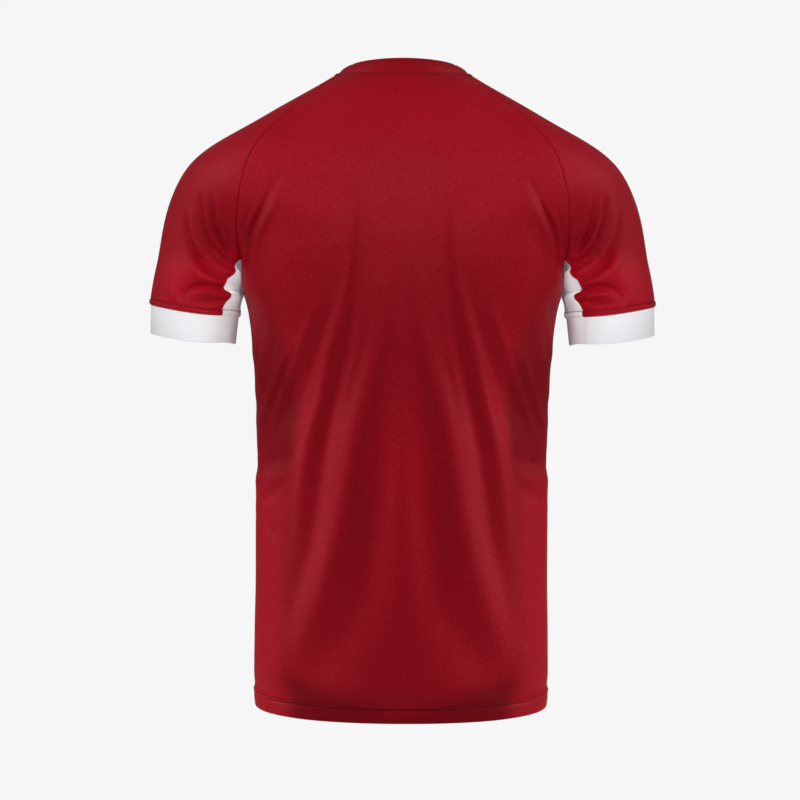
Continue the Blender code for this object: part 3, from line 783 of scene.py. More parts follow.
BACK_FOLDS = (
    # The long hanging folds, from the shoulder blades out to each hip
    Fold(3.4, 4.5, ((54, -165), (57, -198), (66, -253), (81, -308), (94, -364), (108, -420),
                    (116, -475), (121, -530), (130, -590)), widen=2.8),
    Fold(-3.8, 4.5, ((45, -145), (49, -198), (53, -253), (61, -308), (74, -364), (86, -420),
                     (94, -475), (103, -530), (120, -586)), widen=2.8),
    Fold(5.0, 10, ((16, -215), (20, -253), (27, -308), (42, -364), (56, -420), (64, -475),
                   (76, -530), (94, -586), (118, -641), (140, -675), (160, -710)), widen=2.0),
    Fold(-4.0, 11, ((10, -300), (14, -364), (18, -420), (24, -475), (32, -530), (42, -586),
                    (66, -630), (98, -672), (130, -706)), widen=2.2),
    Fold(-3.2, 5, ((74, -240), (79, -264), (94, -308), (112, -364), (130, -420), (143, -470)),
         widen=2.6),
    Fold(3.0, 5, ((96, -256), (112, -300), (128, -340), (146, -385), (160, -420)), widen=1.3),
    Fold(1.4, 16, ((0, -340), (-1, -440), (0, -540), (0, -690)), halves=Halves.MIDDLE),
    Fold(-1.2, 3.5, ((35, -240), (42, -300), (56, -350), (66, -392)), widen=1.6),
    # The shoulder blades, and the hollow below them
    Fold(6.0, 50, ((58, -130), (84, -180), (96, -225))),
    Fold(-5.0, 34, ((104, -310), (124, -350), (144, -400))),
    Fold(-4.5, 14, ((118, -330), (133, -372), (150, -415), (158, -440))),
    # Above the hem the cloth draws in
    Fold(-8.0, 18, ((-150, -700), (-110, -710), (-50, -716), (0, -717), (50, -716),
                    (110, -710), (150, -700)), halves=Halves.MIDDLE),
    # Narrow folds towards the waist at each side
    Fold(5.2, 3.0, ((122, -300), (134, -322), (144, -345), (153, -372), (160, -402))),
    Fold(2.6, 3.0, ((148, -290), (157, -316), (162, -342), (165, -366))),
    Fold(-2.8, 3.5, ((138, -290), (147, -316), (155, -346), (161, -380))),
    Fold(2.0, 2.6, ((158, -270), (165, -296), (168, -322))),
    Fold(3.8, 6, ((162, -460), (152, -456), (134, -446), (120, -434))),
    Fold(-4.5, 13, ((156, -444), (146, -440), (134, -433), (122, -427))),
    Fold(-4.4, 3.2, ((162, -444), (156, -440), (146, -433)), sharpness=1.6),
    Fold(-3.2, 3.4, ((161, -481), (150, -475), (136, -467)), sharpness=1.5),
    Fold(-2.2, 4.0, ((161, -503), (151, -510), (140, -521)), sharpness=1.6),
    # Armpit creases on the panel
    Fold(-5.2, 3.2, ((146, -134), (154, -147), (161, -159), (167, -170), (171, -180),
                     (175, -191), (177, -203), (178, -216), (180, -230)), sharpness=1.4),
    Fold(3.6, 4.5, ((138, -144), (149, -160), (157, -176), (164, -195), (168, -216))),
    Fold(2.6, 2.8, ((157, -147), (166, -161), (172, -175), (177, -190))),
    Fold(-3.0, 2.6, ((169, -155), (175, -167), (180, -180), (182, -190)), sharpness=1.4),
    Fold(-1.8, 5, ((132, -116), (143, -127), (153, -138))),
    Fold(-2.2, 10, ((136, -78), (113, -61), (76, -43))),
    # Sleeve creases
    Fold(-4.0, 8, ((222, -199), (209, -212), (197, -223))),
    Fold(-4.3, 3.0, ((214, -136), (213, -152), (210, -168), (204, -184), (193, -206)),
         sharpness=1.4),
    Fold(3.1, 3.6, ((206, -138), (205, -158), (200, -176), (192, -194))),
    Fold(-5.5, 3.2, ((228, -138), (226, -153), (223, -172), (215, -191), (201, -209),
                     (188, -221)), sharpness=1.4),
    Fold(4.1, 3.6, ((221, -146), (218, -166), (211, -184), (200, -200), (192, -208))),
    Fold(-6.0, 3.4, ((246, -158), (244, -170), (239, -191), (231, -207), (217, -222),
                     (197, -231)), sharpness=1.4),
    Fold(4.8, 4.6, ((238, -156), (234, -178), (226, -196), (212, -212), (196, -222))),
    Fold(3.8, 6.0, ((244, -204), (232, -220), (218, -231), (200, -238))),
    Fold(-5.5, 3.4, ((250, -262), (247, -251), (240, -242), (228, -238), (211, -239),
                     (195, -245)), sharpness=1.4),
    Fold(4.3, 3.8, ((240, -252), (228, -246), (212, -247), (197, -251))),
    Fold(-4.3, 3.0, ((233, -258), (215, -256), (198, -255)), sharpness=1.4),
    Fold(2.9, 5.0, ((258, -240), (256, -252), (250, -262))),
)
FRONT_FOLDS = (
    Fold(3.2, 8, ((60, -235), (78, -300), (98, -365), (110, -430), (118, -500), (124, -560)),
         lean=-0.3),
    Fold(-4.0, 12, ((40, -195), (56, -280), (76, -370), (94, -460), (116, -560), (128, -600))),
    Fold(3.4, 12, ((18, -250), (30, -340), (52, -420), (74, -500), (96, -580), (128, -640))),
    Fold(-4.4, 17, ((8, -290), (20, -390), (42, -480), (66, -570), (102, -650))),
    Fold(2.6, 18, ((3, -330), (0, -450), (-2, -570), (0, -690)), halves=Halves.MIDDLE),
    Fold(5.0, 45, ((62, -130), (86, -180), (92, -220))),
    Fold(-3.0, 28, ((96, -280), (122, -315), (142, -360))),
    Fold(-3.8, 9, ((112, -300), (130, -350), (150, -410), (162, -450))),
    Fold(2.8, 5, ((124, -305), (140, -345), (154, -390), (161, -425))),
    Fold(2.4, 9, ((165, -470), (148, -462), (128, -452))),
    Fold(-2.2, 4.5, ((166, -490), (150, -482), (134, -478)), sharpness=1.5),
    Fold(-4.2, 4.5, ((138, -136), (148, -152), (157, -172), (164, -196), (170, -226)),
         sharpness=1.5),
    Fold(2.6, 6, ((130, -148), (142, -168), (152, -192), (160, -222))),
    Fold(-2.4, 4, ((152, -138), (162, -156), (170, -176), (176, -200)), sharpness=1.5),
    Fold(-1.8, 9, ((110, -92), (88, -84), (62, -92)), halves=Halves.LEFT),
    Fold(-1.6, 10, ((118, -104), (92, -94), (66, -100)), halves=Halves.RIGHT),
    Fold(-3.2, 4.5, ((214, -136), (212, -158), (205, -180), (196, -204)), sharpness=1.5),
    Fold(2.8, 6, ((224, -140), (219, -168), (209, -192), (197, -214))),
    Fold(-3.8, 5, ((246, -160), (240, -186), (228, -206), (209, -227), (194, -240)), sharpness=1.5),
    Fold(3.2, 6, ((240, -204), (222, -226), (206, -238), (194, -246))),
    Fold(-3.4, 5, ((250, -250), (242, -240), (228, -236), (212, -238), (198, -246)), sharpness=1.6),
)
SIDE_FOLDS = (
    Fold(3.0, 14, ((36, -320), (40, -400), (36, -480), (30, -570))),
    Fold(-3.0, 12, ((6, -330), (3, -420), (-2, -520), (-4, -600))),
    Fold(3.0, 14, ((-36, -320), (-32, -400), (-36, -480), (-42, -580))),
    Fold(1.8, 7, ((20, -300), (24, -360), (20, -430))),
    Fold(1.6, 7, ((-16, -300), (-20, -350), (-17, -420))),
)


@dataclass
class Drape:
    """All the folds of the jersey, and how they fade from one face to the next."""

    back: tuple[Fold, ...] = BACK_FOLDS
    front: tuple[Fold, ...] = FRONT_FOLDS
    sides: tuple[Fold, ...] = SIDE_FOLDS
    blend: float = 30.0         # depth over which a fold fades out round a side
    side_start: float = 120.0   # distance from the middle at which side folds begin
    reach: float = 3.5          # widths beyond which a fold is left out

    def height(self, points: np.ndarray) -> np.ndarray:
        """Sum the folds at each point, outwards of the cloth's plain form."""
        faces = {Face.BACK: self.back, Face.FRONT: self.front, Face.SIDE: self.sides}
        total = np.zeros(len(points))
        for face, folds in faces.items():
            for fold in folds:
                total += fold.height * self.share(fold, face, points)
        return total

    def share(self, fold: Fold, face: Face, points: np.ndarray) -> np.ndarray:
        """Return how strongly one fold acts at each point.

        Args:
            fold: The fold.
            face: The face that it lies on.
            points: Points of the cloth, one a row.

        Returns:
            One number for each point, from 0 to 1.
        """
        x, y, z = points.T
        if face is Face.SIDE:
            facing = np.clip((np.abs(x) - self.side_start) / self.blend, 0, 1)
            facing = facing * (z < UNDERARM_TIP_Z)
            across = y
        else:
            facing = np.clip(0.5 + y * face.value / self.blend, 0, 1)
            across = x if fold.halves is Halves.MIDDLE else np.abs(x)
        if fold.halves is Halves.LEFT:
            facing = facing * (x > 0)
        if fold.halves is Halves.RIGHT:
            facing = facing * (x < 0)
        places = np.stack([across, z], axis=1)
        path = np.array(fold.path)
        margin = self.reach * fold.width * max(1.0, fold.widen)
        near = (places > path.min(0) - margin).all(1) & (places < path.max(0) + margin).all(1)
        near &= facing > 0
        weights = np.zeros(len(points))
        if near.any():
            weights[near] = facing[near] * fold.weight(places[near])
        return weights

    def hang(self, cloths: list[Cloth]) -> None:
        """Move the points of every cloth by the folds, along the shared normals."""
        share_normals(cloths)
        for cloth in cloths:
            height = self.height(cloth.points.reshape(-1, 3)).reshape(cloth.points.shape[:2])
            cloth.points = cloth.points + height[:, :, None] * cloth.normals


# Finishes


def linear(code: str) -> tuple[float, float, float, float]:
    """Turn an sRGB hex colour into a linear one."""
    values = [int(code[i:i + 2], 16) / 255 for i in (1, 3, 5)]
    return (*(v / 12.92 if v <= 0.04045 else ((v + 0.055) / 1.055) ** 2.4 for v in values), 1.0)


def add_node(tree: bpy.types.NodeTree, kind: str, inputs: dict | None = None,
             **settings: object) -> bpy.types.Node:
    """Add a node with its settings, values and links.

    Args:
        tree: The node tree to add to.
        kind: The node's type name.
        inputs: A number, colour or output socket for each named or numbered input.
        settings: The node's own properties.

    Returns:
        The new node.
    """
    node = tree.nodes.new(kind)
    for name, value in settings.items():
        setattr(node, name, value)
    for name, value in (inputs or {}).items():
        if isinstance(value, bpy.types.NodeSocket):
            tree.links.new(value, node.inputs[name])
        else:
            node.inputs[name].default_value = value
    return node


def new_material(name: str) -> tuple[bpy.types.Material, bpy.types.NodeTree, bpy.types.Node]:
    """Start a material, and return it with its node tree and its main shader."""
    material = bpy.data.materials.new(name)
    material.use_nodes = True
    return material, material.node_tree, material.node_tree.nodes["Principled BSDF"]


@dataclass(frozen=True)
class KnitFinish:
    """Polyester knit: soft highlights, and a fine grain of wales and courses.

    The real stitches are 0.5 to 0.8 mm apart. They are drawn a little coarser, so that
    they still give the cloth its grain from a step away.
    """

    name: str
    colour: str
    shade: str                  # painted shade: the darker colour mixed in between the stitches
    roughness: float
    specular: float
    glint: str = "#FFFFFF"      # colour of its highlights, which dyed fibres tint
    depth: float = 0.0          # mm that light spreads within the cloth
    scatter: float = 0.6        # share of the light that spreads so
    wale: float = 1.5           # mm between columns of stitches
    course: float = 1.3         # mm between rows of stitches
    relief: float = 0.05        # mm
    grain: float = 0.35         # share of the painted shade that shows between stitches, which also scales their bump
    hole: float = 0.0           # share of a stitch that is an open hole, painted in the shade colour for the shade seen through it
    clouds: float = 18.0        # patches of uneven dye in a metre, about 55 mm each
    cloud: float = 0.05         # how far their colour strays, as a share
    fibres: float = 900.0       # bundles of fibre in a metre, about 1.1 mm each
    mottle: float = 0.14        # how far their colour strays, as a share
    glitter: float = 2.2        # the specular of the brightest bundles over the plain one
    matting: float = 0.06       # how far their roughness strays
    fuzz: float = 0.35          # their height, as a share of the relief

    def material(self) -> bpy.types.Material:
        """Build the material, or return it if it has been built."""
        if self.name in bpy.data.materials:
            return bpy.data.materials[self.name]
        material, tree, shader = new_material(self.name)
        shader.inputs["Specular Tint"].default_value = linear(self.glint)
        if self.depth:
            shader.inputs["Subsurface Weight"].default_value = self.scatter
            shader.inputs["Subsurface Radius"].default_value = (1.0, 1.0, 1.0)
            shader.inputs["Subsurface Scale"].default_value = self.depth * MM
        stitches = self.stitches(tree)
        spot = add_node(tree, "ShaderNodeTexCoord").outputs["Object"]
        fibres = add_node(tree, "ShaderNodeTexNoise",
                          {"Vector": spot, "Scale": self.fibres, "Detail": 2.0}).outputs["Fac"]
        gleam = add_node(tree, "ShaderNodeMapRange",
                         {"Value": fibres, "From Min": 0.3, "From Max": 0.7,
                          "To Min": 0.0, "To Max": self.specular * self.glitter})
        matt = add_node(tree, "ShaderNodeMapRange",
                        {"Value": fibres, "To Min": self.roughness - self.matting,
                         "To Max": self.roughness + self.matting})
        yarn = add_node(tree, "ShaderNodeMath", {0: fibres, 1: self.fuzz}, operation="MULTIPLY")
        surface = add_node(tree, "ShaderNodeMath", {0: stitches, 1: yarn.outputs[0]},
                           operation="SUBTRACT")
        bump = add_node(tree, "ShaderNodeBump",
                        {"Height": surface.outputs[0], "Distance": self.relief * MM},
                        invert=True)
        tree.links.new(self.dye(tree, stitches, spot, fibres), shader.inputs["Base Color"])
        tree.links.new(gleam.outputs["Result"], shader.inputs["Specular IOR Level"])
        tree.links.new(matt.outputs["Result"], shader.inputs["Roughness"])
        tree.links.new(bump.outputs["Normal"], shader.inputs["Normal"])
        return material

    def dye(self, tree: bpy.types.NodeTree, stitches: bpy.types.NodeSocket,
            spot: bpy.types.NodeSocket, fibres: bpy.types.NodeSocket) -> bpy.types.NodeSocket:
        """Colour the knit, darker between its stitches by painted shade, and a little uneven.

        Args:
            tree: The material's node tree.
            stitches: 0 on a stitch and more between them.
            spot: The place on the piece.
            fibres: A fine noise, from 0 to 1.

        Returns:
            The colour.
        """
        noise = add_node(tree, "ShaderNodeTexNoise",
                         {"Vector": spot, "Scale": self.clouds, "Detail": 3.0, "Roughness": 0.55})
        clouds = add_node(tree, "ShaderNodeMapRange",
                          {"Value": noise.outputs["Fac"], "To Min": 1 - self.cloud,
                           "To Max": 1 + self.cloud})
        mottle = add_node(tree, "ShaderNodeMapRange",
                          {"Value": fibres, "From Min": 0.25, "From Max": 0.75,
                           "To Min": 1 - self.mottle, "To Max": 1 + self.mottle})
        uneven = add_node(tree, "ShaderNodeMath",
                          {0: clouds.outputs["Result"], 1: mottle.outputs["Result"]},
                          operation="MULTIPLY")
        # painted shade: the darker shade colour is mixed in between the stitches and in the eyelets
        plain = add_node(tree, "ShaderNodeMix", {0: stitches, 6: linear(self.colour),
                                                 7: linear(self.shade)}, data_type="RGBA")
        return add_node(tree, "ShaderNodeHueSaturation",
                        {"Value": uneven.outputs[0], "Color": plain.outputs[2]}).outputs["Color"]

    def stitches(self, tree: bpy.types.NodeTree) -> bpy.types.NodeSocket:
        """Draw the knit on the cloth's own map: 0 on a stitch and more between them."""
        flat = add_node(tree, "ShaderNodeUVMap", uv_map="cloth")
        cells = add_node(tree, "ShaderNodeMapping",
                         {"Vector": flat.outputs["UV"],
                          "Scale": (1 / (self.wale * MM), 1 / (self.course * MM), 1.0)})
        parts = add_node(tree, "ShaderNodeSeparateXYZ", {0: cells.outputs["Vector"]})
        waves = []
        for axis in (0, 1):
            turned = add_node(tree, "ShaderNodeMath",
                              {0: parts.outputs[axis], 1: 2 * math.pi}, operation="MULTIPLY")
            wave = add_node(tree, "ShaderNodeMath", {0: turned.outputs[0]}, operation="SINE")
            waves.append(add_node(tree, "ShaderNodeMapRange",
                                  {"Value": wave.outputs[0], "From Min": -1.0}).outputs[0])
        both = add_node(tree, "ShaderNodeMath", {0: waves[0], 1: waves[1]},
                        operation="MULTIPLY")
        if self.hole:
            return add_node(tree, "ShaderNodeMapRange",
                            {"Value": both.outputs[0], "From Min": 1 - self.hole,
                             "From Max": 1 - self.hole / 2},
                            interpolation_type="SMOOTHSTEP").outputs[0]
        return add_node(tree, "ShaderNodeMath", {0: both.outputs[0], 1: self.grain},
                        operation="MULTIPLY").outputs[0]


@dataclass(frozen=True)
class ThreadFinish:
    """Spun polyester sewing thread: matt, its colour a painted shade darker than the cloth it
    holds.
    """

    name: str
    colour: str
    roughness: float = 0.6
    specular: float = 0.25
    plies: float = 1500.0       # turns of the ply in a metre, about 0.7 mm each

    def material(self) -> bpy.types.Material:
        """Build the material, or return it if it has been built."""
        if self.name in bpy.data.materials:
            return bpy.data.materials[self.name]
        material, tree, shader = new_material(self.name)
        shader.inputs["Roughness"].default_value = self.roughness
        shader.inputs["Specular IOR Level"].default_value = self.specular
        spot = add_node(tree, "ShaderNodeTexCoord").outputs["Object"]
        ply = add_node(tree, "ShaderNodeTexNoise", {"Vector": spot, "Scale": self.plies})
        uneven = add_node(tree, "ShaderNodeMapRange",
                          {"Value": ply.outputs["Fac"], "To Min": 0.8, "To Max": 1.15})
        dyed = add_node(tree, "ShaderNodeHueSaturation",
                        {"Value": uneven.outputs["Result"], "Color": linear(self.colour)})
        tree.links.new(dyed.outputs["Color"], shader.inputs["Base Color"])
        return material


# Interlock of textured yarn, dyed through: an even deep red, with a soft rosy sheen on
# whatever turns to the light, and a darker painted shade between the stitches
RED_KNIT = KnitFinish("polyester_interlock_knit_red", "#960317", "#7E0213", 0.56, 0.2, "#FFB0B8")
# Bleached mesh: rows of small eyelets, painted darker for the shade seen through them, which greys
# the white
WHITE_MESH = KnitFinish("polyester_eyelet_knit_white", "#F8F6FA", "#D6D2DA", 0.75, 0.1, depth=2.5,
                        wale=2.4, course=2.4, relief=0.2, hole=0.45, mottle=0.04)
# Bleached single jersey, folded double: smooth, matt and nearly even, with faint painted shade
# between its stitches
WHITE_JERSEY = KnitFinish("polyester_jersey_knit_white", "#EDECF1", "#DBDAE2", 0.68, 0.1, depth=1.5,
                          wale=1.2, course=1.2, relief=0.03, mottle=0.03)
# Thread painted as dark as the shade in the needle holes that it lies in, so that its line shows
RED_THREAD_PAINTED_SHADE = ThreadFinish("spun_polyester_thread_red_painted_shade", "#2E020A")


# Sub-assemblies


def publish(piece: bpy.types.Object, finish: KnitFinish | ThreadFinish) -> None:
    """Dress a finished piece and let it ride on the body."""
    piece.data.materials.append(finish.material())
    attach(piece, BODY_NAME)


def hump(away: np.ndarray, width: float) -> np.ndarray:
    """Return a soft hump, 1 high where the distance away is nothing."""
    return np.exp(-(away / width) ** 2)


@dataclass
class Seams:
    """The relief beside a seam: its valley, and the strip that is topstitched flat."""

    valley: float = 1.3
    valley_width: float = 0.6
    fell_width: float = 1.0     # of the valley of a seam that is stitched down
    welt: float = 0.25          # how far the cloth swells beside a plain seam
    welt_place: float = 3.4
    welt_width: float = 1.8
    strip: float = 0.65         # how far a stitched-down allowance lifts the cloth
    strip_width: float = 6.6    # from the seam to its topstitching
    groove: float = 1.0         # how far the topstitching draws the cloth in
    groove_width: float = 0.8

    def sewn(self, away: np.ndarray) -> np.ndarray:
        """Return the relief at a distance from a plain seam."""
        welt = self.welt * hump(away - self.welt_place, self.welt_width)
        return welt - self.valley * hump(away, self.valley_width)

    def topstitched(self, away: np.ndarray) -> np.ndarray:
        """Return the relief at a distance from a seam with its allowance stitched down."""
        lift = self.strip * np.sin(np.pi * np.clip(away / self.strip_width, 0, 1)) ** 0.5
        groove = self.groove * hump(away - self.strip_width, self.groove_width)
        return lift - self.valley * hump(away, self.fell_width) - groove


@dataclass
class StitchRow:
    """A row of stitches along a line on the cloth."""

    name: str
    line: np.ndarray
    pitch: float = 2.9
    length: float = 2.3
    thread: float = 0.95        # its thickness, drawn thicker than real so that it shows
    sides: int = 6
    rings: int = 4

    def build(self) -> bpy.types.Object:
        """Lay one small spindle of thread for each stitch and join them in one mesh."""
        run = run_of(self.line)[-1]
        count = max(2, round(run / self.pitch))
        middles = (np.arange(count) + 0.5) / count
        half = self.length / run / 2
        starts = spread(self.line, middles - half)
        stops = spread(self.line, middles + half)
        stitches = bmesh.new()
        for start, stop in zip(starts, stops):
            along = Vector(stop - start)
            turn = along.to_track_quat("Z", "Y").to_matrix().to_4x4()
            size = Matrix.Diagonal((self.thread / 2, self.thread / 2, along.length / 2, 1.0))
            place = Matrix.Translation(Vector((start + stop) / 2))
            bmesh.ops.create_uvsphere(stitches, u_segments=self.sides, v_segments=self.rings,
                                      radius=1.0, matrix=place @ turn @ size)
        bmesh.ops.scale(stitches, vec=(MM, MM, MM), verts=stitches.verts[:])
        bmesh.ops.recalc_face_normals(stitches, faces=stitches.faces[:])
        piece = mesh_object(self.name, stitches)
        publish(piece, RED_THREAD_PAINTED_SHADE)
        return piece


@dataclass
class Hem:
    """The turned-up hem: twin stitching, a fold at the bottom and cloth up the inside."""

    height: float = 15.5        # from the fold up to the lower stitching
    twin: float = 3.0           # between the two rows of stitches
    thread: float = 0.5
    radius: float = 0.95        # of the fold
    ridge: float = 0.9          # between the two rows
    ridge_width: float = 1.1
    groove: float = 1.3         # below the lower row
    groove_place: float = -1.1  # from the lower row
    groove_width: float = 1.6
    nip: float = 0.65           # along the upper row
    nip_width: float = 0.7
    dip: float = 1.0            # how far the cloth draws in above the stitching
    dip_place: float = 9.0      # from the lower row
    dip_width: float = 5.5
    lean: float = 1.4           # how far the hem's foot draws in
    lean_power: float = 1.5
    turned_rows: int = 6

    def relief(self, up: np.ndarray) -> np.ndarray:
        """Return the relief at a height above the fold."""
        above = up - self.height
        ridge = self.ridge * hump(above - self.twin / 2, self.ridge_width)
        groove = self.groove * hump(above - self.groove_place, self.groove_width)
        nip = self.nip * hump(above - self.twin, self.nip_width)
        dip = self.dip * hump(above - self.dip_place, self.dip_width)
        foot = self.lean * np.clip(1 - up / self.height, 0, 1) ** self.lean_power
        return ridge - groove - nip - dip - foot

    def turned(self, cloth: Cloth) -> Cloth:
        """Carry a panel's cloth round the fold and up inside.

        Args:
            cloth: The panel down to its fold, with its normals.

        Returns:
            The panel with the turned-up cloth as more rows.
        """
        edge = cloth.points[-1]
        down = unit(edge - cloth.points[-2])
        outward = cloth.normals[-1]
        rows = []
        for angle in np.radians(np.arange(30, 181, 30)):
            rows.append(edge + down * self.radius * math.sin(angle)
                        - outward * self.radius * (1 - math.cos(angle)))
        inside = edge - outward * 2 * self.radius
        for up in np.linspace(0.0, self.height, self.turned_rows + 1)[1:]:
            rows.append(inside - down * up)
        return Cloth(np.concatenate([cloth.points, np.array(rows)]))


@dataclass
class Panel:
    """A sheet that is cut flat, sewn in along its edges and draped."""

    node: str                   # the solid whose looks it stands for
    cloth: Cloth
    cut: tuple[float, float]    # width and length of the flat cut, in metres
    cut_area: float             # square metres
    finish: KnitFinish = RED_KNIT
    slot: str = "red_jersey"
    thickness: float = 0.8
    stitch_lift: float = 0.45   # of topstitching above the middle of the cloth
    seams: Seams = field(default_factory=Seams)

    def relief(self) -> np.ndarray:
        """Return the relief of the topstitched first seam and of both side seams."""
        height = self.seams.topstitched(self.cloth.below_first_row())
        height += self.seams.sewn(self.cloth.beside_first_column())
        return height + self.seams.sewn(self.cloth.beside_last_column())

    def first_stitch_line(self) -> np.ndarray:
        """Trace the topstitching below the panel's first row."""
        return self.cloth.contour(self.cloth.below_first_row(), self.seams.strip_width,
                                  self.stitch_lift)

    def last_stitch_line(self, level: float) -> np.ndarray:
        """Trace the topstitching at a level above the panel's last row."""
        return self.cloth.contour(self.cloth.above_last_row(), level, self.stitch_lift)

    def build(self) -> bpy.types.Object:
        """Make the panel's shell, dress it and hide the solid that it stands for."""
        piece = cloth_object(f"{self.node}_cloth", self.cloth, self.thickness)
        publish(piece, self.finish)
        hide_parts(self.node)
        return piece


@dataclass
class TorsoPanel(Panel):
    """The front or back of the body, with its hem turned up inside."""

    hem: Hem = field(default_factory=Hem)

    def relief(self) -> np.ndarray:
        """Return the seams' and the hem's relief at each point."""
        return super().relief() + self.hem.relief(self.cloth.above_last_row())

    def turn_up(self) -> None:
        """Add the cloth that is turned up inside the hem."""
        self.cloth = self.hem.turned(self.cloth)


@dataclass
class Sleeve(Panel):
    """A raglan sleeve: one piece of cloth from the neck down to the cuff seam."""

    cut: tuple[float, float] = (0.285, 0.378)
    cut_area: float = 0.076

    def relief(self) -> np.ndarray:
        """Return the relief of the side seams, the neck seam and the cuff seam."""
        return super().relief() + self.seams.topstitched(self.cloth.above_last_row())


@dataclass
class Underarm(Panel):
    """The open-knit panel under an arm, from the cuff to a point on the side seam."""

    cut: tuple[float, float] = (0.125, 0.13)
    cut_area: float = 0.0105
    finish: KnitFinish = WHITE_MESH
    slot: str = "white_mesh"


def closed_ring(*stretches: np.ndarray, count: int, smoothings: int = 3) -> np.ndarray:
    """Join stretches of seam into one closed ring of evenly spaced points.

    Args:
        stretches: Lines of points that follow each other round the ring.
        count: The number of points, the last of which lies on the first.
        smoothings: How often each point is drawn towards the two beside it.

    Returns:
        The ring's points.
    """
    points = np.vstack(stretches + (stretches[0][:1],))
    kept = np.concatenate([[True], np.linalg.norm(np.diff(points, axis=0), axis=1) > 1e-6])
    ring = spread(points[kept], np.linspace(0.0, 1.0, count))
    for _ in range(smoothings):
        body = ring[:-1]
        body = (np.roll(body, 1, axis=0) + 2 * body + np.roll(body, -1, axis=0)) / 4
        ring = np.vstack([body, body[:1]])
    return ring


FOLD_ANGLES = np.radians(np.arange(20, 180, 20))    # round the fold of a doubled band


def folded_profile(height: float, gap: float, tuck: float, bulge: float,
                   rows: int) -> np.ndarray:
    """Trace a band that is folded double, from its outer seam round to its inner one.

    Args:
        height: The band's height from seam to fold.
        gap: The distance from the band's middle to each layer.
        tuck: How far each layer runs on past the seam.
        bulge: How far the outer layer swells at half height.
        rows: The number of steps along each layer.

    Returns:
        Distances along the band and outwards of it, one pair for each row.
    """
    outer = np.linspace(-tuck, height - gap, rows + 1)
    swell = bulge * np.sin(np.pi * np.clip(outer / height, 0, 1))
    first = np.stack([outer, gap + swell], axis=1)
    fold = np.stack([height - gap + gap * np.sin(FOLD_ANGLES), gap * np.cos(FOLD_ANGLES)],
                    axis=1)
    last = np.stack([outer[::-1], np.full(rows + 1, -gap)], axis=1)
    return np.vstack([first, fold, last])


@dataclass
class Collar:
    """The round neck band, folded double."""

    ring: np.ndarray
    height: float = 16.8        # at centre back and centre front
    lower: float = 0.36         # share of that height lost on the shoulders
    rise_back: float = 66.0     # degrees above level, at centre back
    rise_side: float = 30.0     # on the shoulders
    rise_front: float = 60.0    # at centre front
    turn: float = 1.1           # power with which it leans over from back to shoulder
    gap: float = 0.75           # from the band's middle to each layer
    tuck: float = 0.3           # how far each layer runs on past the seam
    bulge: float = 1.1          # how far the outer layer swells at half height
    rows: int = 12
    thickness: float = 0.8
    cut: tuple[float, float] = (0.42, 0.036)

    def build(self) -> bpy.types.Object:
        """Make the band's shell, dress it and hide the collar's solid."""
        middle = self.ring[:-1].mean(axis=0)
        inward = unit((middle - self.ring) * (1.0, 1.0, 0.0))
        facing = -inward[:, 1]
        straight = np.where(facing > 0, self.rise_back, self.rise_front)
        rise = self.rise_side + (straight - self.rise_side) * np.abs(facing) ** self.turn
        rise = np.radians(rise)[:, None]
        up = np.array((0.0, 0.0, 1.0))
        climb = inward * np.cos(rise) + up * np.sin(rise)
        outward = up * np.cos(rise) - inward * np.sin(rise)
        profile = folded_profile(self.height, self.gap, self.tuck, self.bulge, self.rows)
        tall = (1 - self.lower * (1 - np.abs(facing)))[:, None]
        points = [self.ring + climb * along * tall + outward * out for along, out in profile]
        cloth = Cloth(np.array(points)[::-1], ring=True)
        finish_ring(cloth)
        piece = cloth_object("collar_band", cloth, self.thickness)
        publish(piece, RED_KNIT)
        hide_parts("collar")
        return piece


def finish_ring(cloth: Cloth) -> None:
    """Give a closed band its normals, alike where its ends meet."""
    sums = cloth.face_sums()
    sums[:, 0] += sums[:, -1]
    sums[:, -1] = sums[:, 0]
    cloth.normals = unit(sums)


